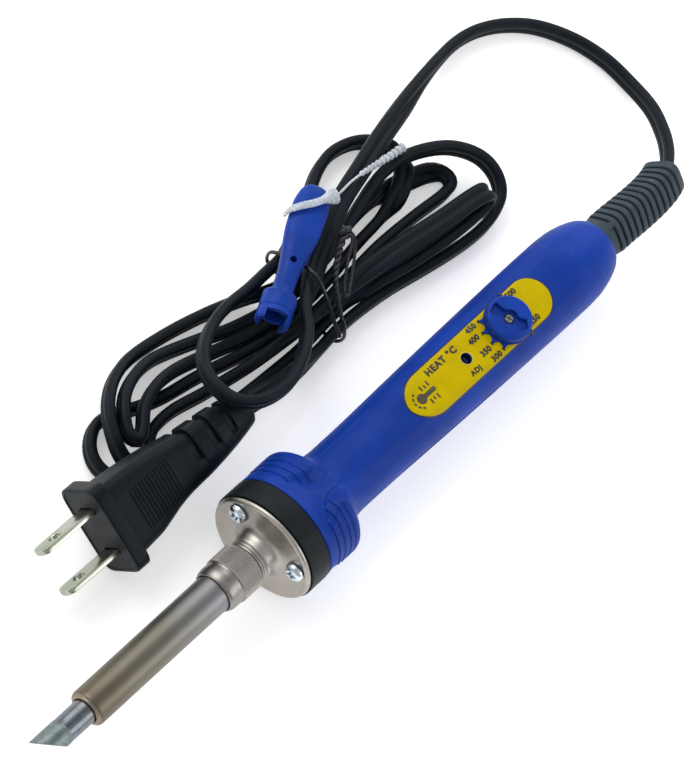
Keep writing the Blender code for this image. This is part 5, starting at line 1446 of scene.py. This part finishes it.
def make_key():
    """Flat grip with a small hole, and a round socket with a wide slot across its end."""
    def ring(s, outline):
        return KEY_START + KEY_ALONG * s + outline[:, :1] * KEY_SIDE + outline[:, 1:] * KEY_UP

    sides = 72
    stations = [*np.arange(0, 1.0, 0.1), *np.arange(1.0, 31.9, 0.5)]
    rings = [ring(s, oval(read_table(KEY_GRIP, s), read_table(KEY_GRIP, s, column=2), sides,
                          power=0.93)) for s in stations]
    rings += [ring(s, oval(r, r, sides)) for s, r in rounded(KEY_SOCKET, closed=False)]
    blue = moulded("key_blue_plastic", (0.003, 0.036, 0.272), roughness=0.40, grain=5200,
                   depth=0.14, edge=0.3, specular=0.15)
    key = lofted("key_dial_tool", rings, blue, sharp=36)
    end = KEY_START + KEY_ALONG * KEY_LENGTH
    cut(key, [
        block(end, (5.2, 11.0, 5.9), (KEY_ALONG, KEY_UP, KEY_SIDE)),
        drill([(-6.6, 2.85), (-6.3, 3.1), (0.2, 3.25), (1.0, 3.3)], sides=48, base=end,
              axis=KEY_ALONG, phase=0.3),
        drill([(-5, 0.95), (5, 0.95)], sides=32,
              base=KEY_START + KEY_ALONG * 23.5 + KEY_SIDE * 0.3, axis=KEY_UP, phase=0.3),
    ], sharp=36)
    place(key, "iron", "knob_key")


# distance along the key, to its side, above its start, half width, thickness ratio
LOOP_STRIP = ((10.6, 5.9, -1.2, 0.90, .5), (10.2, 5.3, 1.9, 1.02, .45), (8.6, 2.8, 3.4, 1.06, .42),
              (6.6, 0.0, 3.75, 1.04, .45), (5.2, -1.5, 3.85, 1.04, .6), (4.6, -2.1, 3.9, 1.20, .8),
              (3.9, -2.9, 3.95, 1.65, .8), (3.1, -3.7, 3.95, 2.15, .8),
              (2.5, -4.35, 3.95, 2.32, .8), (2.1, -4.8, 3.9, 2.05, .8),
              (1.9, -5.0, 3.9, 0.9, 1.0), (1.8, -5.1, 3.9, 0.35, 1.0))
# x, y, z after the strip's last point
LOOP_LINE = [(170.5, 55.4, 6.6), (176, 55.9, 3.9), (181.5, 55.8, 2.2), (183.2, 55.6, 1.8),
             (185.0, 55.4, 1.4), (186.8, 55.2, 1.0), (188.6, 55.0, 0.7), (190.4, 54.8, 0.4),
             (192.2, 54.6, 0.1), (194.0, 54.4, -0.2), (195.6, 54.3, -0.4), (198.4, 54.0, -0.7)]


def make_loop_tie():
    """Flat strip over the key, a trumpet-shaped head, a thin line, then a string of beads."""
    def on_key(along, side, up):
        x, y, _ = KEY_START + KEY_ALONG * along + KEY_SIDE * side
        return (x, y, KEY_START[2] + up)

    strip_rows = [(*on_key(*row[:3]), *row[3:]) for row in LOOP_STRIP]
    strip = np.array(spline(strip_rows, 0.35))
    points, along = tangents(strip)
    wide = KEY_ALONG - along * (along @ KEY_ALONG)[:, None]
    wide /= np.linalg.norm(wide, axis=1)[:, None]
    strip_rings = tube_rings(points, wide, np.cross(along, wide), strip[:, 3], sides=24,
                             flat=strip[:, 4])

    line = np.array(spline([strip_rows[-1][:3]] + LOOP_LINE, 0.18))
    arc = arc_lengths(line)
    beads_x, beads, line_r = 180.5, 11.0, 0.34
    start = arc[int(np.argmin(np.abs(line[:, 0] - beads_x)))]
    span = arc[-1] - start
    phase = ((arc - start) / (span / beads)) % 1.0
    growth = np.clip((arc - start) / span, 0, 1)
    bead = np.sqrt(np.maximum(0, 1 - ((phase - 0.5) / 0.42) ** 2))
    radius = np.where(arc > start, line_r + (0.42 + 0.62 * growth) * bead, line_r)
    radius[-1] = 0.2
    pieces = [lofted("tie_a", strip_rings, sharp=60),
              lofted("tie_b", wire_rings(line, radius, sides=18), sharp=60)]
    tie = join("loop_tie_nylon", pieces, milky_nylon())
    place(tie, "iron", "key_loop_tie")


# ======================================================================= scene, in metres
def make_floor():
    size, z = 1.6, BENCH_Z * MM - 0.0002
    me = bpy.data.meshes.new("floor")
    me.from_pydata([(-size, -size, z), (size + .3, -size, z), (size + .3, size, z),
                    (-size, size, z)], [], [(0, 1, 2, 3)])
    floor = add_object("floor", me)
    m = Surface("floor_pale", (0.9, 0.9, 0.9), 0.9)
    m.colour(m.between(m.noise(scale=18), (0.895, 0.895, 0.895), (0.92, 0.92, 0.92)))
    m.set({"Specular IOR Level": 0.05, "Emission Color": (1.0, 1.0, 1.0, 1.0),
           "Emission Strength": 0.42})
    me.materials.append(m.material)


def area_light(name, where, target, width, height, power, colour):
    light = bpy.data.lights.new(name, "AREA")
    light.shape = "RECTANGLE"
    light.size = width
    light.size_y = height
    light.energy = power
    light.color = colour
    ob = bpy.data.objects.new(name, light)
    ob.location = where
    ob.rotation_mode = "QUATERNION"
    ob.rotation_quaternion = (Vector(target) - Vector(where)).to_track_quat("-Z", "Y")
    bpy.context.scene.collection.objects.link(ob)


def make_lights():
    area_light("key", where=(0.05, 0.95, 0.85), target=(0.13, 0.03, 0), width=1.1, height=0.9,
               power=8.5, colour=(1.0, 0.99, 0.97))
    area_light("fill", where=(0.5, -0.95, 0.55), target=(0.13, 0.02, 0), width=1.0, height=0.7,
               power=4.5, colour=(0.97, 0.985, 1.0))
    area_light("rear", where=(0.95, 0.35, 0.55), target=(0.13, 0.02, 0), width=0.7, height=0.6,
               power=2.8, colour=(1.0, 1.0, 1.0))


def make_world():
    """Soft surround, brighter above and toward +Y, with a dark strip and a dimmer camera side."""
    world = bpy.data.worlds.new("studio")
    bpy.context.scene.world = world
    world.use_nodes = True
    n = Nodes(world.node_tree)
    background = n.tree.nodes["Background"]
    split = n.new("SeparateXYZ")
    n.feed(n.new("TexCoord").outputs["Generated"], split.inputs[0])
    x, y, z = split.outputs

    def times(a, b):
        return n.math("MULTIPLY", a, b)

    def one_minus(value):
        return n.math("SUBTRACT", 1.0, value)

    above = n.math("ADD", times(n.remap(z, low=-0.1, high=1.0), 0.30), 0.62)
    beside = n.math("ADD", times(n.remap(y, low=-0.9, high=0.9), 0.34), 0.80)
    from_strip = n.math("ABSOLUTE", n.math("SUBTRACT", y, 0.02))
    strip_y = one_minus(n.remap(from_strip, low=0.05, high=0.20))
    strip_x = times(n.remap(x, low=0.20, high=0.36), one_minus(n.remap(x, low=0.62, high=0.80)))
    outside_strip = one_minus(times(times(strip_y, strip_x), 0.80))
    toward_camera = n.math("ADD", times(x, -0.485), times(z, 0.873))
    off_camera = one_minus(times(n.remap(toward_camera, low=0.90, high=0.99), 0.45))
    strength = times(times(above, beside), times(outside_strip, off_camera))
    n.feed(times(strength, 0.80), background.inputs["Strength"])
    background.inputs["Color"].default_value = (0.985, 0.99, 1.0, 1)


def make_camera():
    right, up, back = ((0.6481, -0.6937, 0.3141), (0.5875, 0.7179, 0.3734),
                       (-0.4846, -0.0574, 0.8729))
    data = bpy.data.cameras.new("camera")
    data.sensor_width = 36.0
    data.lens = 275.2
    data.clip_start = 0.1
    data.clip_end = 10.0
    camera = bpy.data.objects.new("camera", data)
    turn = Matrix((right, up, back)).transposed()
    camera.matrix_world = Matrix.Translation((-0.6238, -0.0744, 1.3654)) @ turn.to_4x4()
    scene = bpy.context.scene
    scene.collection.objects.link(camera)
    scene.camera = camera
    scene.view_settings.view_transform = "Standard"
    scene.view_settings.look = "None"
    scene.view_settings.exposure = 0.0


for make in (dress_inner_parts, make_tip, make_sleeve, make_nut, make_flange, make_screws,
             make_insulating_ring, make_handle, make_label, make_lettering, make_sign,
             make_skirt, make_knob, make_shaft, make_trimmer, make_cord, make_bushing,
             make_plug, make_blades, make_twist_tie, make_key, make_loop_tie, make_floor,
             make_lights, make_world, make_camera):
    make()
